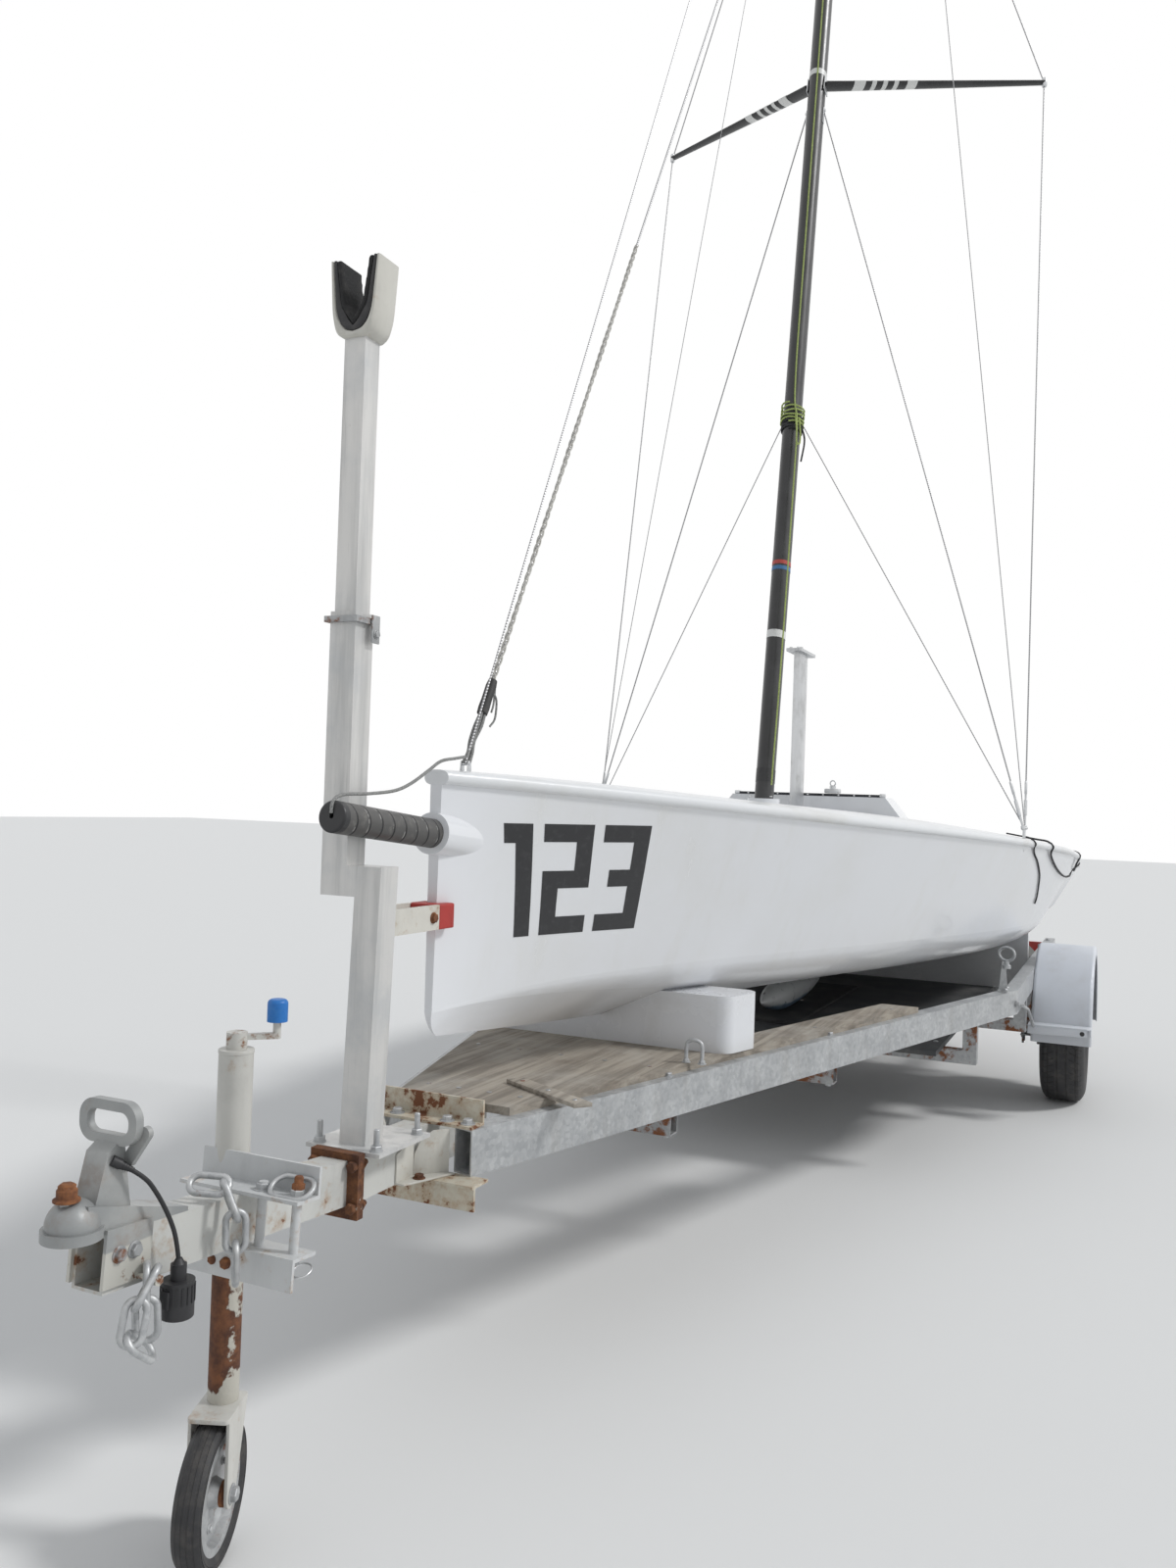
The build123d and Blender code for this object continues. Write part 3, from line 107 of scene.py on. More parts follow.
class Graph:
    """A node tree that is written as sums: node() adds one, sets it and joins its inputs."""

    def __init__(self, tree):
        self.tree = tree

    def node(self, kind, settings, inputs, output=0):
        made = self.tree.nodes.new("ShaderNode" + kind)
        for name, value in settings.items():
            setattr(made, name, value)
        for name, value in inputs.items():
            self.feed(made.inputs[name], value)
        return Wire(self, made.outputs[output]) if output is not None else None

    def feed(self, socket, value):
        if isinstance(value, Wire):
            self.tree.links.new(value.socket, socket)
        elif socket.type == "RGBA" and len(value) == 3:
            socket.default_value = (*value, 1)
        else:
            socket.default_value = value

    def mix(self, share, first, second):
        return self.node("Mix", {"data_type": "RGBA"}, {0: share, 6: first, 7: second}, 2)


class Wire:
    """A value that changes over a surface: sums on it add the nodes that work it out."""

    def __init__(self, graph, socket):
        self.graph = graph
        self.socket = socket

    def maths(self, operation, first, second=0.0):
        return self.graph.node("Math", {"operation": operation}, {0: first, 1: second})

    def __add__(self, other):
        return self.maths("ADD", self, other)

    __radd__ = __add__

    def __sub__(self, other):
        return self.maths("SUBTRACT", self, other)

    def __rsub__(self, other):
        return self.maths("SUBTRACT", other, self)

    def __mul__(self, other):
        return self.maths("MULTIPLY", self, other)

    __rmul__ = __mul__

    def __truediv__(self, other):
        return self.maths("DIVIDE", self, other)

    def __abs__(self):
        return self.maths("ABSOLUTE", self)

    def part(self):
        """What is left past the last whole number."""
        return self.maths("FRACT", self)

    def wave(self):
        """1 at whole numbers and 0 half way between them."""
        return abs(self.part() - 0.5) * 2

    def root(self):
        return self.maths("SQRT", self)

    def most(self, other):
        return self.maths("MAXIMUM", self, other)

    def turn_from(self, other):
        """The angle of a point whose height is this and whose reach is the other."""
        return self.maths("ARCTAN2", self, other)

    def rise(self, low, high):
        """0 below the low value, 1 above the high one, smooth between."""
        settings = {"interpolation_type": "SMOOTHSTEP"}
        return self.graph.node("MapRange", settings, {"Value": self, "From Min": low, "From Max": high})

    def blend(self, first, second):
        """A colour of the first where this is 0 and of the second where it is 1."""
        return self.graph.mix(self, first, second)


class Finish(Graph):
    """One surface finish: a material whose varying sockets take sums of its patterns."""

    def __init__(self, name, **fixed):
        self.material = bpy.data.materials.new(name)
        self.material.use_nodes = True
        super().__init__(self.material.node_tree)
        self.shader = self.tree.nodes["Principled BSDF"]
        for name, value in fixed.items():
            self.shader.inputs[name.replace("_", " ").title().replace("Ior", "IOR")].default_value = value
        self.spot = self.node("TexCoord", {}, {}, "Object")

    def stretched(self, x=1.0, y=1.0, z=1.0):
        """The place on the piece with each way scaled, for a pattern that runs one way."""
        return self.node("VectorMath", {"operation": "MULTIPLY"}, {0: self.spot, 1: (x, y, z)})

    def noise(self, scale, detail=4.0, roughness=0.55, spot=None, distortion=0.0):
        inputs = {"Vector": spot or self.spot, "Scale": scale, "Detail": detail, "Roughness": roughness}
        return self.node("TexNoise", {}, {**inputs, "Distortion": distortion})

    def cells(self, scale, output="Distance", spot=None):
        return self.node("TexVoronoi", {}, {"Vector": spot or self.spot, "Scale": scale}, output)

    def along(self, axis):
        """The place on the piece along one way, in metres."""
        return self.node("SeparateXYZ", {}, {0: self.spot}, axis)

    def bump(self, height, strength=0.5, depth=0.001):
        normal = self.node("Bump", {}, {"Height": height, "Strength": strength, "Distance": depth}, "Normal")
        self.feed(self.shader.inputs["Normal"], normal)

    def give(self, **sockets):
        for name, value in sockets.items():
            self.feed(self.shader.inputs[name.replace("_", " ").title()], value)
        return self.material

    def dusted(self, colour, dust, patches, share, rough):
        """One colour under dust whose patches, a noise and its limits, also dull it."""
        film = self.noise(*patches[:3]).rise(*patches[3:])
        return self.give(base_color=(film * share).blend(colour, dust), roughness=film * rough[0] + rough[1])


def dress(material, *names):
    """Give CAD nodes one finish over all their faces."""
    for name in names:
        nodes[name].data.materials.clear()
        nodes[name].data.materials.append(material)


def toned(colour, factor):
    return [value * factor for value in colour]


def plastic(name, colour, gloss=0.45, grain=900, worn=0.25):
    """Moulded plastic, dusty in its grain and dulled by the sun."""
    finish = Finish(name)
    dust = finish.noise(60, 5, 0.6).rise(0.45, 0.75)
    tint = (dust * worn).blend(colour, toned(colour, 1.6) if max(colour) < 0.3 else toned(colour, 0.8))
    finish.bump(finish.noise(grain, 2), 0.25, 0.0004)
    return finish.give(base_color=tint, roughness=finish.noise(35, 3) * 0.2 + gloss - 0.1)


def metal(name, colour, gloss=0.3, scratch=0.35, shine=0.85):
    """Stainless or anodised metal with fine scratches and water marks."""
    finish = Finish(name, metallic=shine)
    marks = finish.noise(30, 6, 0.65).rise(0.45, 0.8)
    lines = finish.noise(120, 4, 0.7, finish.stretched(1, 1, 0.06)).rise(0.5, 0.8)
    tint = (marks * 0.5 + lines * 0.2).blend(colour, toned(colour, 0.72))
    finish.bump(lines, 0.2, 0.0002)
    return finish.give(base_color=tint, roughness=lines * scratch + marks * 0.12 + gloss)


def rubber(name, colour=(0.024, 0.024, 0.026)):
    finish = Finish(name)
    finish.bump(finish.noise(420, 3), 0.4, 0.0006)
    return finish.dusted(colour, (0.11, 0.105, 0.1), (28, 6, 0.62, 0.45, 0.75), 0.55, (0.12, 0.62))


gelcoat = Finish("hull gelcoat", coat_weight=0.35, coat_roughness=0.08)
hull_grime = gelcoat.noise(2.2, 6, 0.6).rise(0.42, 0.75)
hull_streaks = gelcoat.noise(9, 5, 0.6, gelcoat.stretched(1, 1, 0.15)).rise(0.5, 0.78)
hull_film = hull_grime * 0.5 + hull_streaks * 0.5
hull_tint = hull_film.blend((0.78, 0.79, 0.81), (0.7254, 0.7268, 0.7128))
gelcoat.bump(gelcoat.noise(3, 2), 0.15, 0.004)
hull_rough = gelcoat.noise(40, 3) * 0.08 + hull_film * 0.12 + 0.16
dress(gelcoat.give(base_color=hull_tint, roughness=hull_rough), "hull", "coaming", "mast_step")
steel = metal("stainless steel", (0.62, 0.63, 0.64))
dress(steel, "chainplates", "gudgeons")

# Deck: the same gelcoat, sprayed with fine non-slip, and dirty in patches.
# The forms follow, which every piece that the solids lack is built from.
moulding = Finish("deck gelcoat", coat_weight=0.2, coat_roughness=0.15)
moulding.bump(moulding.cells(260).rise(0.1, 0.5), 0.25, 0.0008)
deck_dirt = (3, 6, 0.62, 0.45, 0.75)
dress(moulding.dusted((0.78, 0.79, 0.8), (0.66, 0.65, 0.62), deck_dirt, 0.6, (0.2, 0.32)), "deck")


class Form:
    """A piece of the model built ring by ring; make() turns it into one object on a body."""

    def __init__(self):
        self.mesh = bmesh.new()

    def skin(self, rings, closed=True, ends=True):
        """Faces from each ring of points to the next, with the two end rings filled."""
        rows = [[self.mesh.verts.new(point) for point in ring] for ring in rings]
        for low, high in zip(rows, rows[1:]):
            for here in range(len(low) if closed else len(low) - 1):
                there = (here + 1) % len(low)
                self.mesh.faces.new((low[here], low[there], high[there], high[here]))
        if ends:
            self.mesh.faces.new(rows[0][::-1])
            self.mesh.faces.new(rows[-1])
        return self

    def turned(self, centre, axis, profile, sides=24, start=0.0):
        """A turned piece: the profile's pairs are a radius and a distance along the axis."""
        turn = Vector(axis).to_track_quat("Z", "X")
        first, second, along = [turn @ Vector(way) for way in ((1, 0, 0), (0, 1, 0), (0, 0, 1))]
        rings = []
        for radius, reach in profile:
            middle = Vector(centre) + along * reach
            rings.append(around(middle, first * radius, second * radius, sides, start))
        return self.skin(rings)

    def tube(self, route, radius, sides=10, lobes=0, lay=0.0):
        """A bent rod along a route. With lobes it is a rope's strands, one full turn in each lay."""
        points = [Vector(point) for point in route]
        rings = []
        done = 0.0
        side = None
        for index, point in enumerate(points):
            before = points[max(index - 1, 0)]
            after = points[min(index + 1, len(points) - 1)]
            way = (after - before).normalized()
            side = way.orthogonal() if side is None else side - side.dot(way) * way
            side.normalize()
            over = way.cross(side)
            done += (point - before).length
            ring = []
            for step in range(sides):
                angle = 2 * pi * step / sides
                swell = radius
                if lobes:
                    swell *= 0.8 + 0.2 * abs(cos(lobes / 2 * (angle - 2 * pi * done / lay)))
                ring.append(point + side * swell * cos(angle) + over * swell * sin(angle))
            rings.append(ring)
        return self.skin(rings)

    def plate(self, outline, thick, edge=0.001):
        """A flat plate from its corners, thickened one way, with its edges eased."""
        low = [self.mesh.verts.new(corner) for corner in outline]
        high = [self.mesh.verts.new(Vector(corner) + Vector(thick)) for corner in outline]
        faces = [self.mesh.faces.new(low[::-1]), self.mesh.faces.new(high)]
        for here in range(len(low)):
            there = (here + 1) % len(low)
            faces.append(self.mesh.faces.new((low[here], low[there], high[there], high[here])))
        sides = list(dict.fromkeys(side for face in faces for side in face.edges))
        if edge:
            bmesh.ops.bevel(self.mesh, geom=sides, offset=edge, segments=2, affect="EDGES", profile=0.5)
        return self

    def bolt(self, place, axis, across=0.017, head=0.009, washer=0.013, start=0.3):
        """A hexagon head on a round washer, both seated at the place and facing along the axis."""
        half = across / sqrt(3)
        self.turned(place, axis, [(washer, 0.0), (washer, 0.0016), (washer * 0.93, 0.0021)], 20)
        profile = [(half, 0.002), (half, head * 0.85), (half * 0.86, head), (half * 0.3, head)]
        return self.turned(place, axis, profile, 6, start)

    def bolts(self, places, axis, *sizes):
        for place in places:
            self.bolt(place, axis, *sizes)
        return self

    def stud(self, place, axis, reach=0.016, across=0.017, start=0.5):
        """A nut on a washer with the bolt's thread standing out of it."""
        self.bolt(place, axis, across, 0.011, start=start)
        thread = across * 0.29
        return self.turned(place, axis, [(thread, 0.01), (thread, reach), (thread * 0.8, reach + 0.0015)], 12)

    def make(self, name, material, body="boat_on_trailer", crease=35):
        bmesh.ops.recalc_face_normals(self.mesh, faces=self.mesh.faces)
        data = bpy.data.meshes.new(name)
        self.mesh.to_mesh(data)
        self.mesh.free()
        data.shade_smooth()
        data.set_sharp_from_angle(angle=radians(crease))
        data.materials.append(material)
        piece = placed(name, data)
        if body:
            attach(piece, body)
        return piece


def bend(points, step=0.012):
    """A smooth route through points, for ropes and bent rods."""
    points = [Vector(point) for point in points]
    ghosts = [2 * points[0] - points[1], *points, 2 * points[-1] - points[-2]]
    route = []
    for before, start, end, after in zip(ghosts, ghosts[1:], ghosts[2:], ghosts[3:]):
        count = max(2, ceil((end - start).length / step))
        for index in range(count):
            t = index / count
            pull = (2 * start) + (end - before) * t
            pull += (2 * before - 5 * start + 4 * end - after) * t**2
            pull += (3 * start - before - 3 * end + after) * t**3
            route.append(pull / 2)
    return [*route, points[-1]]


def rope(name, places, step, radius, material, sides=8, body="boat_on_trailer"):
    """A rope through places, as one piece."""
    return Form().tube(bend(places, step), radius, sides).make(name, material, body)


def rays_on(node):
    """A CAD node's faces, for rays to hit."""
    mesh = bmesh.new()
    mesh.from_mesh(nodes[node].data)
    return BVHTree.FromBMesh(mesh)


# Hull number: plain slanted digits cut from black film, laid on both bows by rays onto the skin.
# Each digit is a few straight strokes in a cell that is one wide and two high.
digits_shown = "123"
number_front = 209
number_foot = 370
digit_high = 262
digit_wide = 142
digit_gap = 31
digit_lean = 48
narrow = 0.55
faces_each = 8
ray_start = 2
digit_strokes = {
    "1": (narrow, [((0.4, 0), (1, 2)), ((0, 1.66), (0.4, 2))]),
    "2": (1, [
        ((0, 1.68), (1, 2)), ((0.66, 1.16), (1, 1.68)), ((0, 0.84), (1, 1.16)),
        ((0, 0.32), (0.34, 0.84)), ((0, 0), (1, 0.32)),
    ]),
    "3": (1, [
        ((0, 1.68), (1, 2)), ((0.66, 1.16), (1, 1.68)), ((0.2, 0.84), (1, 1.16)),
        ((0.66, 0.32), (1, 0.84)), ((0, 0), (1, 0.32)),
    ]),
}
hull_tree = rays_on("hull")
film = Finish("number film", coat_weight=0.2)
film_scuff = (55, 6, 0.6, 0.5, 0.8)
film_black = film.dusted((0.012, 0.012, 0.014), (0.06, 0.06, 0.065), film_scuff, 0.4, (0.2, 0.28))
film_lift = 0.0007
for side, board in ((1, "port"), (-1, "starboard")):
    number = Form()
    digit_front = number_front
    for digit in digits_shown[::side]:
        width, strokes = digit_strokes[digit]
        for (x0, y0), (x1, y1) in strokes:
            across = max(2, ceil((x1 - x0) * faces_each))
            upward = max(2, ceil((y1 - y0) * faces_each))
            rows = []
            for row in range(upward + 1):
                level = (y0 + (y1 - y0) * row / upward) / 2
                line = []
                for column in range(across + 1):
                    share = x0 + (x1 - x0) * column / across
                    share = share if side > 0 else 1 - share
                    aft = digit_front + width * digit_wide * share - digit_lean * level
                    height = frame_top + (number_foot + digit_high * level) * mm
                    start = Vector((stem_x - aft * mm, side * ray_start, height))
                    hit, normal = hull_tree.ray_cast(start, Vector((0, -side, 0)))[:2]
                    line.append(hit + normal * film_lift * (1 if normal.y * side > 0 else -1))
                rows.append(line)
            number.skin(rows, closed=False, ends=False)
        digit_front += width * digit_wide + digit_gap
    number.make("hull_number_" + board, film_black)

# Mast and spreaders: black carbon, hazy with dust, its laminate showing as fine lengthwise streaks.
# White and coloured tape marks are wrapped round it, and white dashes are on the spreaders' front edges.
rake = radians(8.7)
mast_foot = Vector((stem_x - mast_aft, 0, frame_top + 0.712))
mast_up = Vector((-sin(rake), 0, cos(rake)))
mast_ahead = Vector((cos(rake), 0, sin(rake)))
mast_half_deep = 48
mast_half_wide = 37
spreader_chord = 33
spreader_thick = 12


def up_mast(level, ahead=0.0, port=0.0):
    """A place in mm up the mast from its foot, ahead of its middle and to port of it."""
    return mast_foot + mast_up * level * mm + mast_ahead * ahead * mm + Vector((0, port * mm, 0))


def spreader_tip(port):
    return up_mast(3432, -540, port)


def round_mast(level, lift):
    """A ring round the mast at a level, a little off its surface."""
    deep = mast_ahead * (mast_half_deep + lift) * mm
    wide = Vector((0, (mast_half_wide + lift) * mm, 0))
    return around(up_mast(level), deep, wide, 40)


def tape(name, colour):
    finish = Finish(name)
    wear = finish.noise(70, 6, 0.6).rise(0.5, 0.8)
    finish.bump(wear, 0.3, 0.0004)
    return finish.give(base_color=(wear * 0.5).blend(colour, toned(colour, 0.6)), roughness=wear * 0.2 + 0.4)


carbon = Finish("carbon", coat_weight=0.15, coat_roughness=0.3)
weave = carbon.noise(60, 4, 0.6, carbon.stretched(1, 1, 0.03)).rise(0.4, 0.7)
haze = carbon.noise(6, 6, 0.62).rise(0.4, 0.75)
carbon.bump(weave, 0.12, 0.0003)
carbon_tint = (haze * 0.6 + weave * 0.2).blend((0.012, 0.012, 0.013), (0.05, 0.05, 0.052))
carbon_rough = haze * 0.2 + weave * 0.08 + 0.3
dress(carbon.give(base_color=carbon_tint, roughness=carbon_rough), "mast", "spreaders")
tape_white = tape("white tape", (0.72, 0.72, 0.7))
# name, foot and top of each band above the mast's foot, and its tape
for name, low, high, cover in (
    ("mast_band_low", 675, 706, tape_white),
    ("mast_tape_blue", 962, 978, tape("blue tape", (0.05, 0.16, 0.34))),
    ("mast_tape_red", 986, 1002, tape("red tape", (0.45, 0.06, 0.05))),
    ("mast_tape_foot", 78, 132, tape("black tape", (0.02, 0.02, 0.022))),
    ("mast_band_high", 3236, 3262, tape_white),
    ("mast_tape_head", 7400, 7440, tape_white),
):
    rings = [round_mast(low, 0.2), round_mast(low, 0.9), round_mast(high, 0.9), round_mast(high, 0.2)]
    Form().skin(rings).make(name, cover)

spreader_marks = Form()
for side in (1, -1):
    root = up_mast(3200, 0, side * 37)
    along = spreader_tip(side * 895) - root
    facing = mast_up.cross(along).normalized() * -side
    lift = along.cross(facing).normalized()
    for share, length in ((0.12, 0.05), (0.2, 0.02), (0.25, 0.02), (0.3, 0.02), (0.36, 0.045)):
        rings = []
        for reach in (share, share + length):
            chord = facing * spreader_chord * (1 - reach / 2) * mm
            deep = lift * spreader_thick * (1 - reach / 3) * mm
            rings.append(around(root + along * reach, chord, deep, 24))
        spreader_marks.skin(rings)
spreader_marks.make("spreader_marks", tape_white)

# Mast fittings: spreader brackets, tangs for the stays, the masthead's cap plate and the step's screws.
# Rope tails are lashed round the mast at head height.
mast_metal = Form()
for side in (1, -1):
    bracket = [(-30, 3168), (30, 3168), (24, 3236), (-24, 3236)]
    mast_metal.plate([up_mast(level, ahead, side * 36) for ahead, level in bracket], (0, side * 0.004, 0))
    for level in (3080, 5750):
        tang = [(-9, level - 60), (9, level - 60), (11, level + 8), (0, level + 18), (-11, level + 8)]
        mast_metal.plate([up_mast(high, ahead, side * 36.5) for ahead, high in tang], (0, side * 0.003, 0))
        mast_metal.bolt(up_mast(level, 0, side * 39), (0, side, 0), 0.011, 0.006, 0.008)
mast_cap = [(-70, -16), (70, -12), (70, 12), (-70, 16)]
mast_metal.plate([up_mast(7490, ahead, port) for ahead, port in mast_cap], mast_up * 0.014)
step_screws = [up_mast(14, ahead, side * 42) for side in (1, -1) for ahead in (-46, 46)]
mast_metal.bolts(step_screws, up, 0.01, 0.004, 0.006).make("mast_fittings", steel)


def braid(name, colour, hollow_shade):
    """Braided rope: two sets of strands crossing at the same slant, with painted shade in the weave's
    hollows.
    """
    finish = Finish(name)
    cross = finish.cells(420, "Distance", finish.stretched(1, 1, 0.5)).rise(0.1, 0.6)
    grime = finish.noise(30, 5).rise(0.45, 0.8)
    finish.bump(cross, 0.8, 0.0006)
    # the darker second colour fills the bump's hollows: it is painted shade between the strands
    tint = (grime * 0.3).blend(cross.blend(hollow_shade, colour), toned(colour, 0.4))
    return finish.give(base_color=tint, roughness=0.75 + grime * 0.1)


# each rope's second, darker colour is the painted shade in its weave's hollows
rope_green = braid("green halyard", (0.42, 0.5, 0.16), (0.18, 0.26, 0.06))
rope_black = braid("black rope", (0.03, 0.03, 0.033), (0.012, 0.012, 0.013))
rope_pale = braid("pale rope", (0.58, 0.565, 0.52), (0.36, 0.34, 0.3))
rope_grey = braid("grey rope", (0.3, 0.3, 0.29), (0.14, 0.14, 0.14))

# name, levels, turns, distance off the mast, radius and rope of each lashing
for name, low, high, turns, lift, radius, cover in (
    ("mast_lashing", 1576, 1640, 7, 4, 0.004, rope_black),
    ("halyard_lashing", 1604, 1690, 5, 10, 0.0035, rope_green),
):
    count = int(turns * 18)
    deep = mast_half_deep + lift
    wide = mast_half_wide + lift
    route = []
    for step in range(count + 1):
        angle = 2 * pi * turns * step / count
        level = low + (high - low) * step / count + 3 * sin(angle * 2.3)
        route.append(up_mast(level, deep * cos(angle), wide * sin(angle)))
    Form().tube(route, radius, 8).make(name, cover)
# name, step, radius, rope, then its places up the mast, ahead and to port
for name, step, radius, cover, places in (
    ("green_halyard", 0.03, 0.0032, rope_green, (
        (3900, 51, 10), (3000, 52, 12), (2300, 53, 13), (1900, 54, 14), (1700, 54, 20), (1640, 52, 30),
        (1560, 58, 40), (1300, 70, 46), (1000, 78, 50), (700, 80, 52), (400, 74, 50), (160, 66, 46),
        (60, 58, 44),
    )),
    ("halyard_loop", 0.01, 0.0032, rope_green, (
        (1640, 50, 26), (1560, 66, 40), (1500, 74, 46), (1490, 70, 58), (1540, 60, 56), (1620, 46, 42),
    )),
    ("lashing_tail", 0.01, 0.004, rope_black, (
        (1600, 0, 41), (1560, -6, 54), (1520, 4, 60), (1470, 14, 58), (1440, 8, 52),
    )),
):
    rope(name, [up_mast(*place) for place in places], step, radius, cover)

# Standing rigging: stranded stainless wire, with its end fittings at deck level.
# The lay shows as a fine twist along each wire, with painted shade in the grooves between its strands.
wire_lay = Finish("stranded wire", metallic=0.8)
wire_strand = (wire_lay.along(2) * 140 + wire_lay.along(1) * 60).wave()
wire_lay.bump(wire_strand, 0.8, 0.0006)
# the dark between the strands is painted shade; the strands themselves keep the steel's light grey
wire_tint_with_groove_shade = wire_strand.blend((0.16, 0.16, 0.165), (0.55, 0.55, 0.56))
wire_steel = wire_lay.give(base_color=wire_tint_with_groove_shade, roughness=wire_strand * 0.1 + 0.32)
dress(wire_steel, "forestay", "shrouds", "lowers")

plate_ahead = stem_ahead - 2980
foot_shift = 24
extra_wires = Form()
extra_wires.tube([spot(stem_ahead - 112, 4, 762), up_mast(6900, 48, 4)], 0.0022, 8)
for side in (1, -1):
    for shift, radius, level, port in ((6, 0.002, 7380, 34), (14, 0.0022, 1618, 40)):
        wire = [spot(plate_ahead + shift, side * 950, 642), up_mast(level, 0, side * port)]
        extra_wires.tube(wire, radius, 8)
extra_wires.make("running_wires", wire_steel)

# a rigging screw: its fork, slotted body, threaded ends and swaged sleeve
screw_profile = [
    (0.004, 0.0), (0.0084, 0.004), (0.0084, 0.018), (0.0042, 0.02), (0.0042, 0.06), (0.007, 0.062),
    (0.007, 0.124), (0.0042, 0.126), (0.0042, 0.15), (0.0056, 0.152), (0.0056, 0.2), (0.004, 0.204),
]
turn_screws = Form()
for side in (1, -1):
    for shift, head in ((-foot_shift, spreader_tip(side * 898)), (foot_shift, up_mast(3080, 0, side * 37))):
        foot = spot(plate_ahead + shift, side * 948, 634)
        turn_screws.turned(foot, head - foot, screw_profile, 14)
        turn_screws.turned(foot - Vector((0, 0.011, -0.008)), (0, 1, 0), [(0.004, 0), (0.004, 0.022)], 10)
for port in (-9, 9):
    cheek = [(-112, 742), (-130, 742), (-127, 768), (-115, 768)]
    places = [spot(stem_ahead + ahead, port - 1.5, level) for ahead, level in cheek]
    turn_screws.plate(places, (0, 0.003, 0), 0.0008)
turn_screws.turned(spot(stem_ahead - 120, -12, 761), (0, 1, 0), [(0.0035, 0), (0.0035, 0.024)], 10)
tip_profile = [(0.009, 0), (0.012, 0.006), (0.012, 0.034), (0.009, 0.04)]
for side in (1, -1):
    turn_screws.turned(spreader_tip(side * 895) + Vector((0, side * 0.004, -0.02)), up, tip_profile, 14)
turn_screws.make("rigging_screws", steel)

stay_low = spot(stem_ahead - 120, 0, 762)
stay_way = (up_mast(5750, 48, 0) - stay_low).normalized()
sleeve = [
    (0.008, 0.132), (0.0125, 0.134), (0.0135, 0.15), (0.0125, 0.172), (0.0128, 0.21), (0.0105, 0.226),
    (0.006, 0.228),
]
sleeve_rubber = rubber("sleeve rubber", (0.02, 0.02, 0.02))
Form().turned(stay_low, stay_way, sleeve, 16).make("forestay_sleeve", sleeve_rubber)
strop = Form()
for turn in range(4):
    out = Vector((cos(turn * pi / 2 + 0.4), sin(turn * pi / 2 + 0.4), 0)) * 0.0062
    swing = []
    for reach in (0.0, 0.03, 0.06, 0.1, 0.14):
        swing.append(stay_low + stay_way * reach + out * (1 + 0.5 * sin(reach * 60 + turn)))
    strop.tube(bend(swing, 0.008), 0.0036, 8)
knot = [(0, 0, 0), (-20, 6, 26), (-38, 8, 12), (-34, 8, -30), (-18, 4, -50)]
for side, reach in ((1, 0.16), (-1, 0.2)):
    places = [stay_low + stay_way * reach + Vector((x, side * y, z)) * mm for x, y, z in knot]
    strop.tube(bend(places, 0.006), 0.0026, 8)
strop.make("forestay_strop", rope_grey)
strands = 3
strand_steps = 260
strand_turn = 0.42
strand_rise = 0.006
stay_rope = Form()
for strand in range(strands):
    wound = []
    for step in range(strand_steps):
        angle = step * strand_turn + strand * 2 * pi / strands
        slack_out = 0.004 + 0.0008 * sin(step * 0.11)
        out = Vector((cos(angle), sin(angle), 0)) * slack_out
        wound.append(stay_low + stay_way * (0.222 + strand_rise * step) + out)
    stay_rope.tube(wound, 0.0024, 6)
stay_rope.make("forestay_rope", rope_pale)

# Keel, lifted in its slot: bare metal fin and head plate, and a white painted bulb.
# Below its middle the bulb is coloured dark blue as painted shade, and the mat under it is dark ribbed
# rubber.
bare_steel = Finish("fin steel", metallic=0.75)
fin_lines = bare_steel.noise(90, 4, 0.7, bare_steel.stretched(1, 1, 0.04)).rise(0.4, 0.8)
fin_marks = bare_steel.noise(7, 6, 0.62).rise(0.45, 0.7)
bare_steel.bump(fin_lines, 0.2, 0.0002)
fin_tint = (fin_marks * 0.6 + fin_lines * 0.3).blend((0.55, 0.56, 0.57), (0.36, 0.36, 0.35))
fin_rough = fin_lines * 0.15 + fin_marks * 0.2 + 0.28
dress(bare_steel.give(base_color=fin_tint, roughness=fin_rough), "keel_fin", "keel_head")
bulb = Finish("bulb paint", coat_weight=0.1)
# a wavy line at the bulb's middle: below it the white gives way to a dark blue painted shade
bulb_shade_edge = bulb.noise(14, 5) * 0.03 + bulb.along(2)
bulb_chips = bulb.noise(26, 7, 0.65).rise(0.58, 0.66)
bulb_white_over_shade = bulb_shade_edge.rise(frame_top - 0.115, frame_top - 0.1).blend((0.16, 0.24, 0.33), (0.62, 0.63, 0.62))
bulb.bump(bulb_chips, 0.4, 0.0006)
bulb_tint = bulb_chips.blend(bulb_white_over_shade, (0.25, 0.25, 0.25))
dress(bulb.give(base_color=bulb_tint, roughness=bulb_chips * 0.2 + 0.42), "keel_bulb")
mat = Finish("ribbed mat")
mat.bump((mat.along(0) * 90).wave().rise(0.2, 0.6), 0.8, 0.002)
mat_dust = (9, 6, 0.6, 0.4, 0.75)
dress(mat.dusted((0.03, 0.03, 0.032), (0.13, 0.125, 0.115), mat_dust, 0.6, (0.1, 0.75)), "keel_mat")
keel_x = stem_x - keel_aft
keel_bolts = Form()
for ahead in (-0.112, 0.112):
    for port in (0.016, -0.016):
        keel_bolts.bolt(Vector((keel_x + ahead, port, frame_top + 1.382)), up, 0.013, 0.007, 0.009)
keel_bolts.make("keel_head_bolts", steel, "keel")

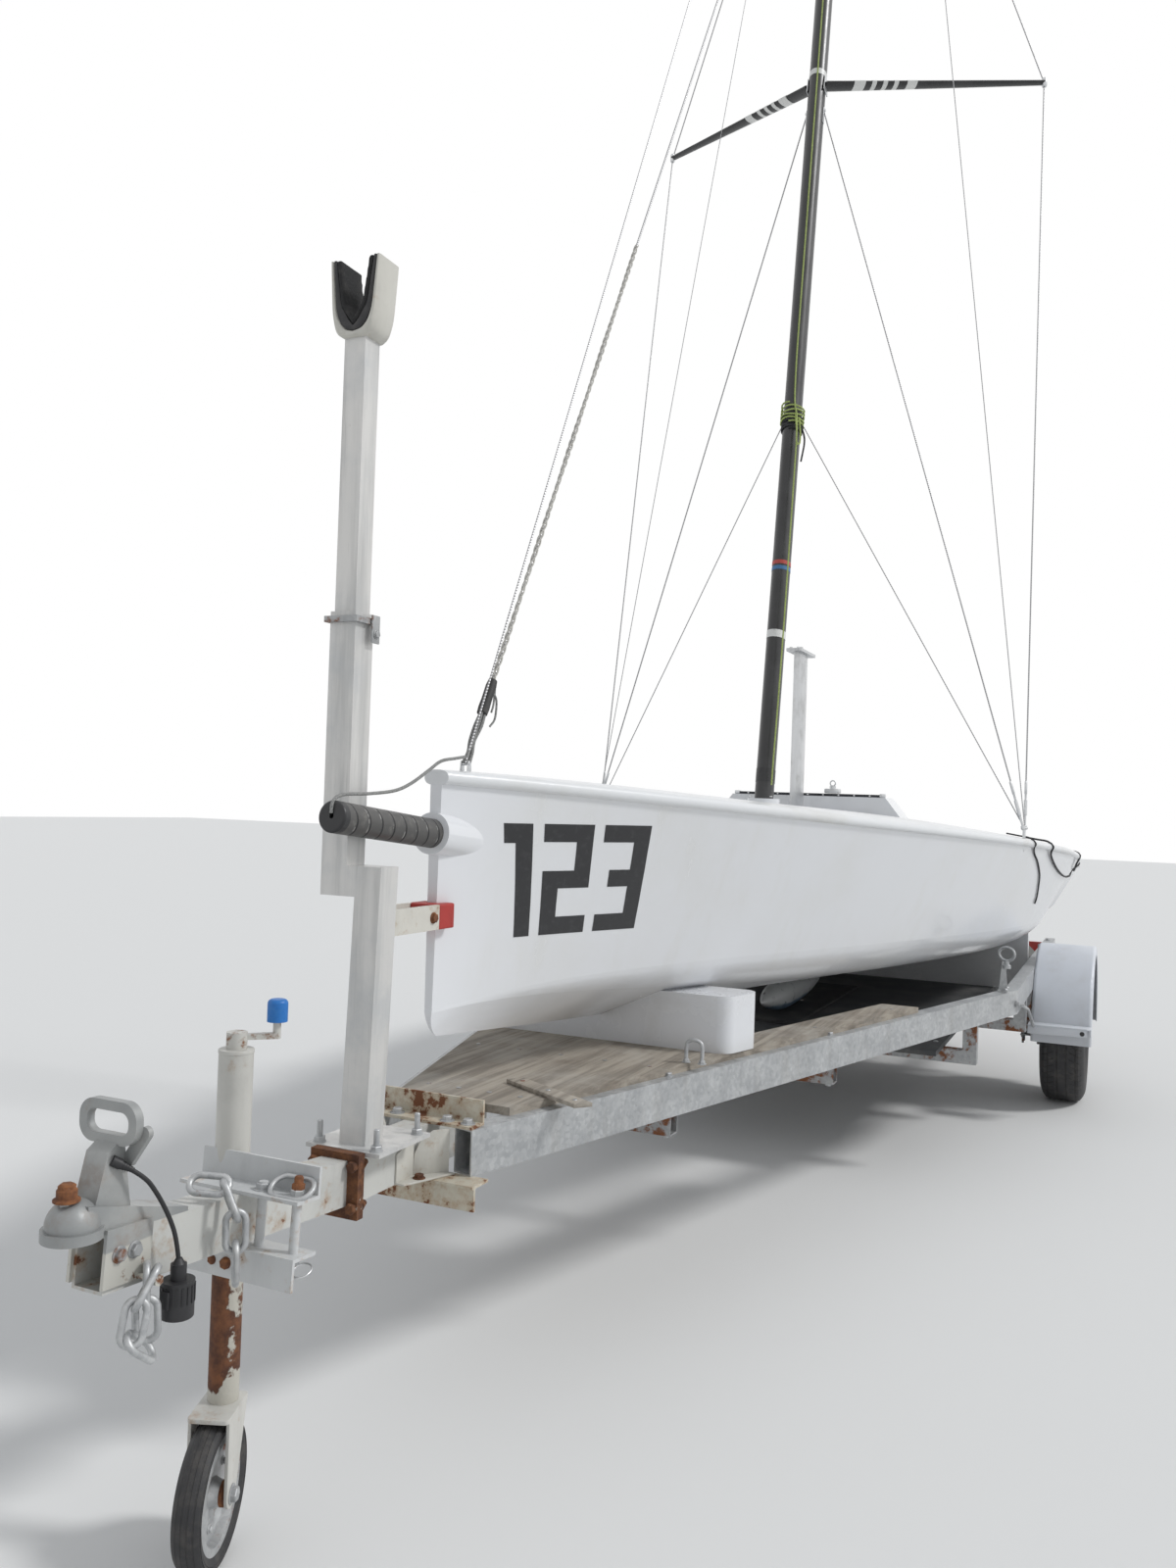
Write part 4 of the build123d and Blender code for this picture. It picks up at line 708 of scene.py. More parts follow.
# Bowsprit: a pole wound with black tape whose edges climb it as a shallow spiral.
# The line from its tip runs back along its top and over the bow.
pole_rise = radians(5.6)
pole_foot = Vector((stem_x, 0, frame_top + 0.606))
pole_way = Vector((cos(pole_rise), 0, sin(pole_rise)))
pole_up = Vector((-sin(pole_rise), 0, cos(pole_rise)))
tape_pitch = 0.042
pole = Finish("wound tape")
pole_x = pole.along(0) - pole_foot.x
pole_z = pole.along(2) - pole_foot.z
pole_reach = pole_x * pole_way.x + pole_z * pole_way.z
pole_lift = pole_x * pole_up.x + pole_z * pole_up.z
pole_turn = pole.along(1).turn_from(pole_lift)
pole_wind = (pole_reach / tape_pitch + pole_turn / (2 * pi)).part()
pole_edge = abs(pole_wind - 0.5).rise(0.41, 0.47)
pole_wear = pole.noise(45, 6, 0.62).rise(0.5, 0.8)
pole.bump(pole_wind * 0.8 - pole_edge * 0.8, 0.9, 0.0022)
# pale spots just behind each tape edge are a painted highlight in the tape's colour
pole_painted_glint = pole.noise(60, 4).rise(0.52, 0.62) * pole_wind.rise(0.16, 0.08)
pole_shade = (pole_wear * 0.8).blend((0.075, 0.073, 0.07), (0.21, 0.2, 0.185))
pole_shade = (pole_painted_glint * 0.8).blend(pole_shade, (0.48, 0.47, 0.45))
pole_tint = pole_edge.blend(pole_shade, (0.01, 0.01, 0.011))
dress(pole.give(base_color=pole_tint, roughness=pole_wear * 0.2 + 0.45), "bowsprit")
black_plastic = plastic("black plastic", (0.02, 0.02, 0.022), 0.4)
dress(black_plastic, "sprit_plug")
tack_points = [
    (135, 0, 648), (131, 0, 670), (101, 0, 683), (12, 0, 687), (-74, 0, 695), (-134, 0, 712),
    (-193, 4, 741), (-234, 8, 762), (-295, 8, 771), (-338, 4, 776),
]
tack_line = rope("tack_line", [spot(*place) for place in tack_points], 0.008, 0.0035, rope_grey, 10, "")
tuple(spot(-193, 0, 741))
tuple(spot(101, 0, 683))
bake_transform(tack_line)

# Cockpit and stern: jib track with its car, gudgeon bolts, and black rope left in loops over the gunwale.
# One tail of that rope hangs down outside the hull.
def galvanised(name, tone=1.0, rusty=0.0):
    """Dipped zinc: dull crystals with white bloom, and rust that comes through where asked."""
    finish = Finish(name)
    spangle = finish.node("SeparateColor", {}, {0: finish.cells(95, "Color")}, 0)
    bloom = (finish.noise(13, 8, 0.7) * 0.7 + finish.noise(70, 5, 0.6) * 0.3).rise(0.4, 0.66)
    runs = finish.noise(16, 5, 0.6, finish.stretched(1, 1, 0.2)).rise(0.5, 0.78)
    zinc_tints = [toned(colour, tone) for colour in ((0.36, 0.37, 0.38), (0.56, 0.57, 0.57))]
    tint = (spangle * 0.45 + bloom * 0.5).blend(*zinc_tints)
    tint = (runs * 0.3).blend(tint, (0.27, 0.25, 0.22))
    if rusty:
        rust = (finish.noise(9, 8, 0.68) + finish.noise(46, 6, 0.6) * 0.25).rise(0.78 - rusty, 0.86 - rusty)
        tint = rust.blend(tint, (0.2, 0.075, 0.03))
        rough = rust * 0.35 + bloom * 0.1 + 0.42
        finish.bump(bloom * 0.4 + rust * finish.noise(160, 5), 0.4, 0.0012)
        return finish.give(base_color=tint, metallic=0.55 - rust * 0.5, roughness=rough)
    finish.bump(bloom * 0.5 + finish.noise(120, 3) * 0.3, 0.25, 0.0008)
    return finish.give(base_color=tint, metallic=0.55 - bloom * 0.25, roughness=bloom * 0.15 + 0.4)


def rusted(name, left=0.0, tone=1.0):
    """Scaly rust, with what is left of a light paint where asked."""
    finish = Finish(name)
    scale = finish.noise(38, 8, 0.68).rise(0.35, 0.68)
    rust = scale.blend(toned((0.11, 0.042, 0.022), tone), toned((0.3, 0.12, 0.045), tone))
    kept = (finish.noise(13, 8, 0.66) + finish.noise(70, 5) * 0.2).rise(0.76 - left, 0.81 - left)
    finish.bump(finish.noise(190, 5, 0.6) * 0.6 + scale * 0.5 + kept * 0.6, 0.7, 0.0014)
    return finish.give(base_color=kept.blend(rust, (0.55, 0.53, 0.47)), roughness=0.86 - kept * 0.3)


def painted(name, colour, rust=0.1, gloss=0.42):
    """Brushed light paint on steel: dirt in its grain, rust through its chips and edges."""
    finish = Finish(name)
    dirt = finish.noise(7, 7, 0.65).rise(0.42, 0.75)
    brush = finish.noise(26, 5, 0.6, finish.stretched(1, 1, 0.12)).rise(0.4, 0.8)
    worn = finish.noise(11, 9, 0.68) * 0.75 + finish.noise(48, 7, 0.65) * 0.35
    chips = worn.rise(0.76 - rust, 0.8 - rust)
    stain = worn.rise(0.66 - rust, 0.79 - rust) * 0.6
    coat = (dirt * 0.5 + brush * 0.25).blend(colour, toned(colour, 0.68))
    coat = stain.blend(coat, (0.36, 0.22, 0.11))
    finish.bump(brush * 0.4 - chips * 0.8 + finish.noise(140, 4) * 0.2, 0.45, 0.001)
    tint = chips.blend(coat, (0.17, 0.065, 0.028))
    return finish.give(base_color=tint, roughness=chips * 0.35 + dirt * 0.12 + gloss)


def corners(half_x, half_y):
    return [(-half_x, -half_y), (half_x, -half_y), (half_x, half_y), (-half_x, half_y)]


zinc = galvanised("galvanised frame")
zinc_dark = galvanised("galvanised shaded", 0.8, 0.16)
dress(metal("anodised track", (0.022, 0.024, 0.03), 0.38, 0.2, 0.3), "jib_track")
coaming_abaft = 0.69
track_width = 0.028
track_x = stem_x - mast_aft - coaming_abaft - track_width
track_low = frame_top + 0.7525
car_level = frame_top + 0.766
car_port = 0.11
stern_metal = Form()
for port in range(-280, 281, 70):
    place = (track_x + 0.0138, port * mm, frame_top + 0.758)
    stern_metal.turned(place, (1, 0, 0), [(0.004, 0), (0.004, 0.0012), (0.002, 0.0018)], 12)
stern_metal.plate([(track_x + x, car_port + y, car_level) for x, y in corners(0.03, 0.032)], up * 0.02, 0.004)
car_knob = [(0.014, 0), (0.014, 0.012), (0.008, 0.016)]
stern_metal.turned((track_x, car_port, car_level + 0.02), up, car_knob, 18)
for side in (1, -1):
    ends = [(track_x + x, side * 0.334 + y, track_low) for x, y in corners(0.014, 0.012)]
    stern_metal.plate(ends, up * 0.016, 0.003)
for level in (45, 150):
    for side in (1, -1):
        place = Vector((transom_x - 0.016, side * 0.0152, frame_top + level * mm))
        stern_metal.bolt(place, (0, side, 0), 0.011, 0.006, 0.008)
stern_metal.make("stern_fittings", steel)
deck_tree = rays_on("deck")
deck_above = 1500
deck_beyond = 1200
edge_step = 4


def over_side(ahead, level, lift=0.004):
    """A place against the outside of the hull or the deck's edge, to port."""
    start = spot(ahead, 2000, level)
    hits = [tree.ray_cast(start, Vector((0, -1, 0)))[0] for tree in (hull_tree, deck_tree)]
    return Vector((start.x, max(abs(hit.y) for hit in hits if hit) + lift, start.z))


def on_deck(ahead, port, lift=0.004):
    """A place on the deck, or nothing beside it, seen from above."""
    hit = deck_tree.ray_cast(spot(ahead, port, deck_above), down)[0]
    return hit and hit + up * lift


def over_edge(ahead, lift=0.007):
    """Places that take a rope from the deck over its rounded edge, at one station."""
    port = deck_beyond
    while not on_deck(ahead, port):
        port -= edge_step
    brink = on_deck(ahead, port - edge_step)
    lip = Vector((brink.x, brink.y + 0.003 + lift, brink.z - 0.014))
    return [on_deck(ahead, port - inboard, lift) for inboard in (110, 60, 18)] + [lip]


# name, step, radius, where it leaves the deck, its places down the side, and where it comes back
for name, step, radius, leaves, side_places, returns in (
    ("side_line", 0.01, 0.0032, -3262, (
        (-3300, 560, 0.006), (-3360, 535), (-3470, 500), (-3620, 440), (-3710, 385), (-3790, 330),
        (-3810, 300),
    ), 0),
    ("stern_line", 0.02, 0.0042, -3590, (
        (-3640, 530, 0.007), (-3900, 465, 0.006), (-4300, 410, 0.006), (-4900, 385, 0.006),
        (-5350, 395, 0.006), (-5560, 420, 0.007),
    ), -5640),
    ("stern_loop", 0.02, 0.0042, -4600, (
        (-4680, 455, 0.01), (-4800, 430, 0.012), (-5080, 408, 0.012), (-5330, 415, 0.012),
        (-5420, 430, 0.01),
    ), -5460),
):
    places = over_edge(leaves) + [over_side(*place) for place in side_places]
    rope(name, places + (over_edge(returns)[::-1] if returns else []), step, radius, rope_black)
eye = around((track_x, car_port, car_level + 0.045), Vector((0, 0.012, 0)), up * 0.012, 12)
Form().tube(eye + eye[:1], 0.003, 8).make("track_eye", steel)

# Cradles and boards: white boxes under the hull, and weathered boards screwed to the cross beams.
# The boards carry a batten, a staple and their screws.
cradle = Finish("cradle gelcoat", coat_weight=0.2)
cradle_dirt = cradle.noise(8, 6, 0.62).rise(0.45, 0.75)
cradle_level = cradle.along(2) + cradle.noise(20, 5) * 0.04
cradle_low = cradle_level.rise(frame_top + 0.09, frame_top + 0.03)
cradle_tint = (cradle_dirt * 0.25 + cradle_low * 0.25).blend((0.74, 0.75, 0.77), (0.48, 0.46, 0.42))
cradle.bump(cradle.noise(12, 4), 0.2, 0.002)
cradle_white = cradle.give(base_color=cradle_tint, roughness=cradle_dirt * 0.15 + 0.25)
dress(cradle_white, "cradle_front", "cradle_rear")

wood = Finish("weathered boards")
board_lines = wood.noise(34, 7, 0.68, wood.stretched(0.05, 1, 1), 0.4)
board_grain = board_lines.rise(0.35, 0.65)
board_wear = wood.noise(5, 7, 0.66).rise(0.4, 0.72)
board_stain = wood.noise(3.1, 5, 0.6, wood.stretched(1, 1.4, 1)).rise(0.5, 0.75)
board_tint = board_grain.blend((0.19, 0.165, 0.135), (0.4, 0.355, 0.295))
board_tint = (board_wear * 0.5).blend(board_tint, (0.48, 0.455, 0.41))
board_tint = (board_stain * 0.65).blend(board_tint, (0.135, 0.105, 0.08))
wood.bump(board_lines, 0.5, 0.0016)
boards = wood.give(base_color=board_tint, roughness=board_grain * 0.1 + 0.78)
dress(boards, "deck_boards")
ply = Finish("dark platform")
platform_grit = ply.noise(300, 3)
platform_wear = ply.noise(4, 7, 0.66).rise(0.4, 0.72)
ply.bump(platform_grit, 0.4, 0.001)
platform_tint = (platform_wear * 0.6).blend((0.06, 0.063, 0.066), (0.17, 0.165, 0.155))
dress(ply.give(base_color=platform_tint, roughness=platform_grit * 0.15 + 0.62), "platform")
screws = Form()
for ahead, half in ((-440, 120), (-900, 250), (-1290, 340), (-1700, 480), (-2200, 620)):
    for port in range(-half, half + 1, max(80, half // 2)):
        screws.turned(spot(ahead, port, 18), up, [(0.006, 0), (0.006, 0.0012), (0.003, 0.0014)], 12)
screws.make("board_screws", zinc_dark)
staple_line = [(313, 16), (313, 60), (319, 73), (334.5, 78), (350, 73), (356, 60), (356, 16)]
staple = Form().tube(bend([spot(-999, port, level) for port, level in staple_line], 0.004), 0.005, 12)
staple_foot = [(0.012, 0), (0.012, 0.002), (0.0085, 0.003), (0.0085, 0.008), (0.006, 0.01)]
for port in (313, 356):
    staple.turned(spot(-999, port, 18), up, staple_foot, 6)
staple.make("board_staple", zinc)
batten = [(-539, 30), (-410, 268), (-445, 296), (-575, 58)]
batten_level = 18.4
places = [spot(ahead, port, batten_level) for ahead, port in batten]
Form().plate(places, up * 0.01, 0.002).make("board_batten", boards)
batten_screws = Form()
for share in (0.12, 0.5, 0.88):
    place = spot(-557 + 129 * share, 44 + 238 * share, batten_level + 10)
    batten_screws.turned(place, up, [(0.006, 0), (0.005, 0.0014), (0.002, 0.0015)], 12)
batten_screws.make("batten_screws", zinc_dark)

# Trailer frame: galvanised rails and beams with bolts, hangers, springs and the lamp board.
# Its front ends are tied by angles whose white paint is lost to rust at the edges.
dress(zinc, "rails", "tie_downs")
dress(zinc_dark, "cross_beams", "drop_beams", "axle", "springs")
dress(painted("angle paint", (0.6, 0.56, 0.46), 0.2, 0.5), "cross_angles")
frame_bolt = (0.019, 0.011, 0.016)
beam_bolt = (0.017, 0.009, 0.013)
tie_bolt = (0.015, 0.008, 0.012)
rail_half = 950
rail_front_half = 135
rail_straight = 3100
rail_front = 200
# name, material, place ahead, first place to port, level and the way it faces
for name, material, ahead, first, level, way in (
    ("angle_bolts_top", zinc, -222, 62, 6, up),
    ("angle_bolts_low", rusted("bolt rust", 0.05), -176, 96, -101, down),
):
    places = [spot(ahead, side * port, level) for side in (1, -1) for port in (first, first + 50)]
    Form().bolts(places, way, *frame_bolt).make(name, material)
beam_bolts = Form()
for aft in (900, 1700, 5300):
    splay = (rail_half - rail_front_half) / (rail_straight - rail_front)
    half = min(rail_half, rail_front_half + (aft - rail_front) * splay)
    for side in (1, -1):
        beam_bolts.bolt(spot(-aft, side * (half - 30), -145), down, *beam_bolt)
        beam_bolts.bolt(spot(-aft, side * (half - 30), 0), up, *beam_bolt)
low_places = [spot(-aft, side * 690, -174) for aft in (2750, 3600, 4640) for side in (1, -1)]
beam_bolts.bolts(low_places, up, 0.013, 0.004, 0.01).make("beam_bolts", zinc)

tie_ahead = -3020
tie_port = 912
swivel = [(0.016, 0), (0.016, 0.012), (0.01, 0.016), (0.01, 0.03), (0.0125, 0.033)]
tie_rings = Form()
for side in (1, -1):
    along = Vector((0.45, side * 0.89, 0)) * 0.034
    ring = around(spot(tie_ahead, side * tie_port, 148), along, up * 0.026, 32)
    tie_rings.tube(ring + ring[:1], 0.0055, 10)
    tie_rings.turned(spot(tie_ahead, side * tie_port, 92), up, swivel, 18)
    tie_rings.bolts([spot(tie_ahead + shift, side * tie_port, 8) for shift in (-26, 26)], up, *tie_bolt)
    rod = [(-3080, 930, -52), (-3080, 962, -52), (-3420, 966, -120), (-3712, 968, -232)]
    tie_rings.tube([spot(ahead, side * port, level) for ahead, port, level in rod], 0.007, 12)
    tie_rings.stud(spot(-3080, side * 950, -52), (0, side, 0), 0.026, 0.017)
tie_rings.make("tie_down_rings", zinc)

axle_x = post_x - 4.2
axle_level = 0.325
spring_y = 0.925
u_half = 0.034
u_bolt = [(-u_half, -0.075), (-u_half, 0.035), (-0.022, 0.05)]
u_bolt += [(-y, z) for y, z in u_bolt[::-1]]
spring_metal = Form()
for side in (1, -1):
    middle = Vector((axle_x, side * spring_y, axle_level))
    for ahead in (-0.032, 0.032):
        spring_metal.tube(bend([middle + Vector((ahead, y, z)) for y, z in u_bolt], 0.008), 0.0055, 10)
        for port in (-u_half, u_half):
            spring_metal.stud(middle + Vector((ahead, port, -0.038)), down, 0.018, 0.017)
    under = [middle + Vector((x, y, -0.0305)) for x, y in corners(0.048, 0.045)]
    spring_metal.plate(under, down * 0.0075, 0.002)
spring_metal.make("spring_bolts", zinc_dark)

lamp_paint = Finish("lamp board paint")
lamp_dust = lamp_paint.noise(8, 6, 0.62).rise(0.42, 0.75)
lamp_stripe = abs(lamp_paint.along(1)).rise(0.19, 0.192)
lamp_bars = ((lamp_paint.along(1) * 5 + lamp_paint.along(2) * 5).part() - 0.5).rise(-0.01, 0.01)
lamp_base = lamp_stripe.blend((0.62, 0.62, 0.6), lamp_bars.blend((0.55, 0.05, 0.04), (0.62, 0.62, 0.6)))
lamp_tint = (lamp_dust * 0.5).blend(lamp_base, (0.4, 0.38, 0.35))
dress(lamp_paint.give(base_color=lamp_tint, roughness=lamp_dust * 0.2 + 0.4), "lamp_board")
lens = Finish("lamp lens", coat_weight=0.4, coat_roughness=0.05, transmission_weight=0.25)
lens_ribs = (lens.along(1) * 160).wave()
lens_tint = abs(lens.along(1)).rise(0.822, 0.824).blend((0.42, 0.012, 0.015), (0.72, 0.22, 0.02))
lens.bump(lens_ribs, 0.6, 0.001)
dress(lens.give(base_color=lens_tint, roughness=lens_ribs * 0.08 + 0.14), "lamps")
lamp_frames = Form()
for side in (1, -1):
    for level in (-115, -37):
        edge = [(722, level), (878, level), (878, level + 4), (722, level + 4)]
        lamp_frames.plate([spot(-5470.5, side * port, high) for port, high in edge], (-0.047, 0, 0), 0.001)
lamp_frames.make("lamp_frames", black_plastic)

# Road wheels: painted steel rims with nuts, valve and hub cap, and tyres cut with block tread.
# The tread, its grooves and the walls' ring lines are worked from the angle round each hub.
guard_inner = 0.95
guard_half = 0.127
wheel_y = guard_inner + guard_half
tyre_radius = 0.325
tyre_width = 0.195
tread_blocks = 62
nut_ring = 0.05
rim_paint = painted("rim paint", (0.44, 0.45, 0.45), 0.1, 0.38)
hub_cap = [(0.0335, -0.003), (0.0335, 0.0), (0.03, 0.0035), (0.018, 0.0052), (0.004, 0.0056)]
valve_stem = [(0.005, -0.012), (0.005, 0.012), (0.0035, 0.014), (0.0035, 0.026)]
for name, side in (("port", 1), ("starboard", -1)):
    tyre = Finish("road tyre " + name)
    x = tyre.along(0) - axle_x
    y = abs((tyre.along(1) - side * wheel_y) / tyre_width)
    z = tyre.along(2) - axle_level
    far = (x * x + z * z).root()
    turn = z.turn_from(x) / (2 * pi) * tread_blocks
    blocks_cut = (turn + y * 3).wave()
    tread = far.rise(tyre_radius - 0.022, tyre_radius - 0.014)
    grooves = (y * 5 + 0.5).wave().rise(0.8, 0.88).most(blocks_cut.rise(0.82, 0.9) * y.rise(0.16, 0.18))
    wall = (1 - tread) * (far * 95).wave().rise(0.85, 0.98) * 0.35
    tyre.bump(wall - tread * grooves, 0.9, 0.005)
    dust = tyre.noise(22, 6, 0.62).rise(0.42, 0.75)
    # the grooves in the tread are painted darker than the rubber, as painted shade in their depths
    shade = (tread * grooves * 0.8).blend((0.026, 0.026, 0.028), (0.008, 0.008, 0.008))
    tyre_tint = (dust * 0.45).blend(shade, (0.12, 0.11, 0.1))
    dress(tyre.give(base_color=tyre_tint, roughness=dust * 0.15 + 0.62), "tyre_" + name)
    dress(rim_paint, "wheel_" + name)
    body = "road_wheel_" + name
    face = side * (wheel_y + 0.022)
    low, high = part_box("wheel_" + name)
    nuts = Form()
    hub = Vector((axle_x, face, axle_level))
    for place in around(hub, Vector((nut_ring, 0, 0)), up * nut_ring, 5, 0.3):
        nuts.stud(place, (0, side, 0), 0.02, 0.019)
    nuts.make("wheel_nuts_" + name, zinc, body)
    outer = (axle_x, high[1] if side > 0 else low[1], axle_level)
    Form().turned(outer, (0, side, 0), hub_cap, 28).make("hub_cap_" + name, zinc, body)
    valve = Vector((axle_x, face + side * 0.012, axle_level + 0.15))
    Form().turned(valve, (0, side, 0.5), valve_stem, 12).make("valve_" + name, black_plastic, body)

# Mudguards: white moulded guards with a step panel ahead of the wheel and flange bolts.
# A black plug closes a hole in each panel's lip.
guard = Finish("mudguard plastic")
guard_dirt = guard.noise(7, 6, 0.62).rise(0.45, 0.78)
guard_low = (guard.along(2) + guard.noise(18, 5) * 0.05).rise(0.52, 0.36)
guard_tint = (guard_dirt * 0.3 + guard_low * 0.3).blend((0.66, 0.69, 0.74), (0.45, 0.44, 0.42))
guard.bump(guard.noise(300, 2), 0.2, 0.0004)
guard_white = guard.give(base_color=guard_tint, roughness=guard_dirt * 0.15 + 0.34)
dress(guard_white, "mudguards")
guard_reach = 0.388
guard_bolts = Form()
for side in (1, -1):
    for angle in (35, 90, 145):
        x = axle_x + guard_reach * cos(radians(angle))
        z = axle_level + guard_reach * sin(radians(angle))
        guard_bolts.bolt((x, side * 0.9495, z), (0, -side, 0), 0.013, 0.006, 0.012)
guard_bolts.make("mudguard_bolts", zinc_dark)
step_front = post_x - 3.711
step_back = post_x - 3.79
step_level = frame_top - 0.2265
step_thick = 0.005
steps = Form()
lip_plugs = Form()
for side in (1, -1):
    inner = side * 0.944
    outer = side * 1.204
    shelf = [(step_back, inner), (step_front + 0.006, inner), (step_front, inner + side * 0.008)]
    shelf += [(step_front, outer - side * 0.016), (step_front - 0.016, outer), (step_back, outer)]
    steps.plate([(x, y, step_level) for x, y in shelf], down * step_thick, 0.0015)
    low = step_level - step_thick
    apron = [(inner, 0), (outer - side * 0.016, 0), (outer - side * 0.016, -0.03), (inner, -0.036)]
    steps.plate([(step_front - 0.004, y, low + z) for y, z in apron], (0.004, 0, 0), 0.0012)
    cheek = [(step_front - 0.014, 0), (step_back, 0), (step_back, -0.034), (step_front - 0.014, -0.03)]
    steps.plate([(x, outer - side * 0.0005, low + z) for x, z in cheek], (0, -side * 0.004, 0), 0.0012)
    plug_place = (step_front - 0.0002, side * 1.168, low - 0.016)
    lip_plugs.turned(plug_place, (1, 0, 0), [(0.01, 0), (0.01, 0.0016), (0.006, 0.0022)], 16)
steps.make("mudguard_lips", guard_white)
lip_plugs.make("mudguard_plugs", black_plastic)

# Drawbar and its joint: worn white paint over steel, and rusty plates with their four bolts.
# Two painted brackets beside the drawbar's tail carry the front ends of the rails.
bar_tilt = radians(4)
bar_ahead = 0.075
bar_foot = Vector((post_x + bar_ahead, 0, frame_top - 0.006))
bar_way = Vector((cos(bar_tilt), 0, sin(bar_tilt)))
bar_up = Vector((-sin(bar_tilt), 0, cos(bar_tilt)))


def on_bar(reach, port, lift):
    """A place in mm along the drawbar from its joint, to port and above its top face."""
    return bar_foot + bar_way * reach * mm + bar_up * lift * mm + Vector((0, port * mm, 0))


dress(painted("drawbar paint", (0.58, 0.58, 0.55), 0.1), "drawbar", "drawbar_tail")
plate_rust = rusted("joint rust", 0.06, 0.62)
dress(plate_rust, "joint_plates")
joint_bolts = Form()
for port in (44, -44):
    for level in (-14, -92):
        joint_bolts.bolt(spot(85, port, level), (1, 0, 0), 0.019, 0.011, 0.0105)
        joint_bolts.stud(spot(65, port, level), (-1, 0, 0), 0.02, 0.019)
joint_bolts.make("joint_bolts", plate_rust)
brackets = Form()
bracket_bolts = Form()
for side in (1, -1):
    wall = [(-140, 31, -93), (-200, 81, -93), (-200, 81, -3), (-172, 58, -3), (-152, 41, -22)]
    wall += [(-142, 33, -48)]
    places = [spot(ahead, side * port, level) for ahead, port, level in wall]
    brackets.plate(places, (0.0026, side * 0.0031, 0), 0.0008)
    base = [(-78, 31), (-78, 52), (-198, 100), (-198, 31)]
    brackets.plate([spot(ahead, side * port, -94.6) for ahead, port in base], up * 0.004, 0.001)
    cheek = [(-78, -91), (-78, -34), (-140, -12), (-140, -91)]
    brackets.plate([spot(ahead, side * 30.4, level) for ahead, level in cheek], (0, side * 0.004, 0), 0.001)
    bracket_bolts.bolt(spot(-128, side * 56, -90.6), up, *beam_bolt)
brackets.make("rail_brackets", painted("bracket paint", (0.62, 0.605, 0.55), 0.07))
bracket_bolts.make("bracket_bolts", plate_rust)

# Mast post: square tube with brushed zinc, its collar, its inner tube and the padded crutch on top.
# Bolts hold its foot plate down, and the bow stops are bolted to its sides.
post = Finish("brushed post")
post_marks = post.noise(30, 6, 0.62, post.stretched(1, 1, 0.07)).rise(0.42, 0.72)
post_lines = post.noise(150, 4, 0.6, post.stretched(1, 1, 0.03)).rise(0.6, 0.74)
post_bloom = post.noise(6, 7, 0.66).rise(0.38, 0.7)
post_tint = (post_marks * 0.6 + post_lines * 0.4).blend((0.66, 0.65, 0.63), (0.4, 0.4, 0.39))
post_tint = (post_bloom * 0.55).blend(post_tint, (0.47, 0.49, 0.505))
post_spots = (post.noise(17, 7, 0.7) + post.noise(80, 5) * 0.2).rise(0.77, 0.84)
post_tint = (post_spots * 0.5).blend(post_tint, (0.27, 0.21, 0.16))
post.bump(post_lines * 0.6 + post_bloom * 0.3, 0.3, 0.0007)
post_rough = post_bloom * 0.12 + 0.4
post_zinc = post.give(base_color=post_tint, metallic=0.35 - post_marks * 0.15, roughness=post_rough)
dress(post_zinc, "mast_post", "post_inner")
dress(painted("stop paint", (0.64, 0.62, 0.56), 0.12), "bow_stops")
dress(zinc_dark, "post_collar")
post_bolts = Form()
for ahead in (-98, 44):
    for port in (66, -66):
        post_bolts.stud(spot(ahead, port, 8), up, 0.04, 0.02)
post_bolts.make("post_bolts", zinc)
post_port = -67
collar_pin = Form()
collar_pin.bolt(spot(-58, post_port + 12, 1029), (0, 1, 0), 0.015, 0.008, 0.011)
pin_end = [(0.005, 0), (0.005, 0.02), (0.003, 0.022)]
collar_pin.turned(spot(-58, post_port - 12, 1029), (0, -1, 0), pin_end, 12)
plate = [(-34, 1042), (-8, 1042), (-8, 986), (-34, 986)]
collar_pin.plate([spot(ahead, -27, level) for ahead, level in plate], (0, 0.004, 0), 0.0012)
lug = [(-32, 1024), (-10, 1024), (-10, 1034), (-32, 1034)]
collar_pin.plate([spot(ahead, -30, level) for ahead, level in lug], (0, 0.006, 0), 0.001)
collar_pin.bolt(spot(-21, -23, 1004), (0, 1, 0), 0.013, 0.006, 0.009)
collar_pin.make("collar_pin", zinc_dark)
stop_bolts = Form()
for side in (1, -1):
    stop_bolts.bolt(spot(-176, side * 38, 433), (0, side, 0), 0.017, 0.008, 0.012)
stop_bolts.make("stop_bolts", rusted("stop bolt rust", 0.05))
# the crutch is a cream outer shell round a dark rubber core, and both follow its solid's outline
crutch_half = 0.035
crutch_middle = Vector((post_x, post_port * mm, frame_top + 1.59))
crutch_outer = [
    (0.058, 0.155), (0.0575, 0.14), (0.0545, 0.09), (0.051, 0.045), (0.042, 0.013), (0.026, 0.0),
    (0.01, 0.0), (0.0, 0.0),
]
crutch_inner = [
    (0.044, 0.155), (0.0425, 0.145), (0.037, 0.105), (0.031, 0.066), (0.022, 0.05), (0.012, 0.034),
    (0.005, 0.026), (0.0, 0.0215),
]


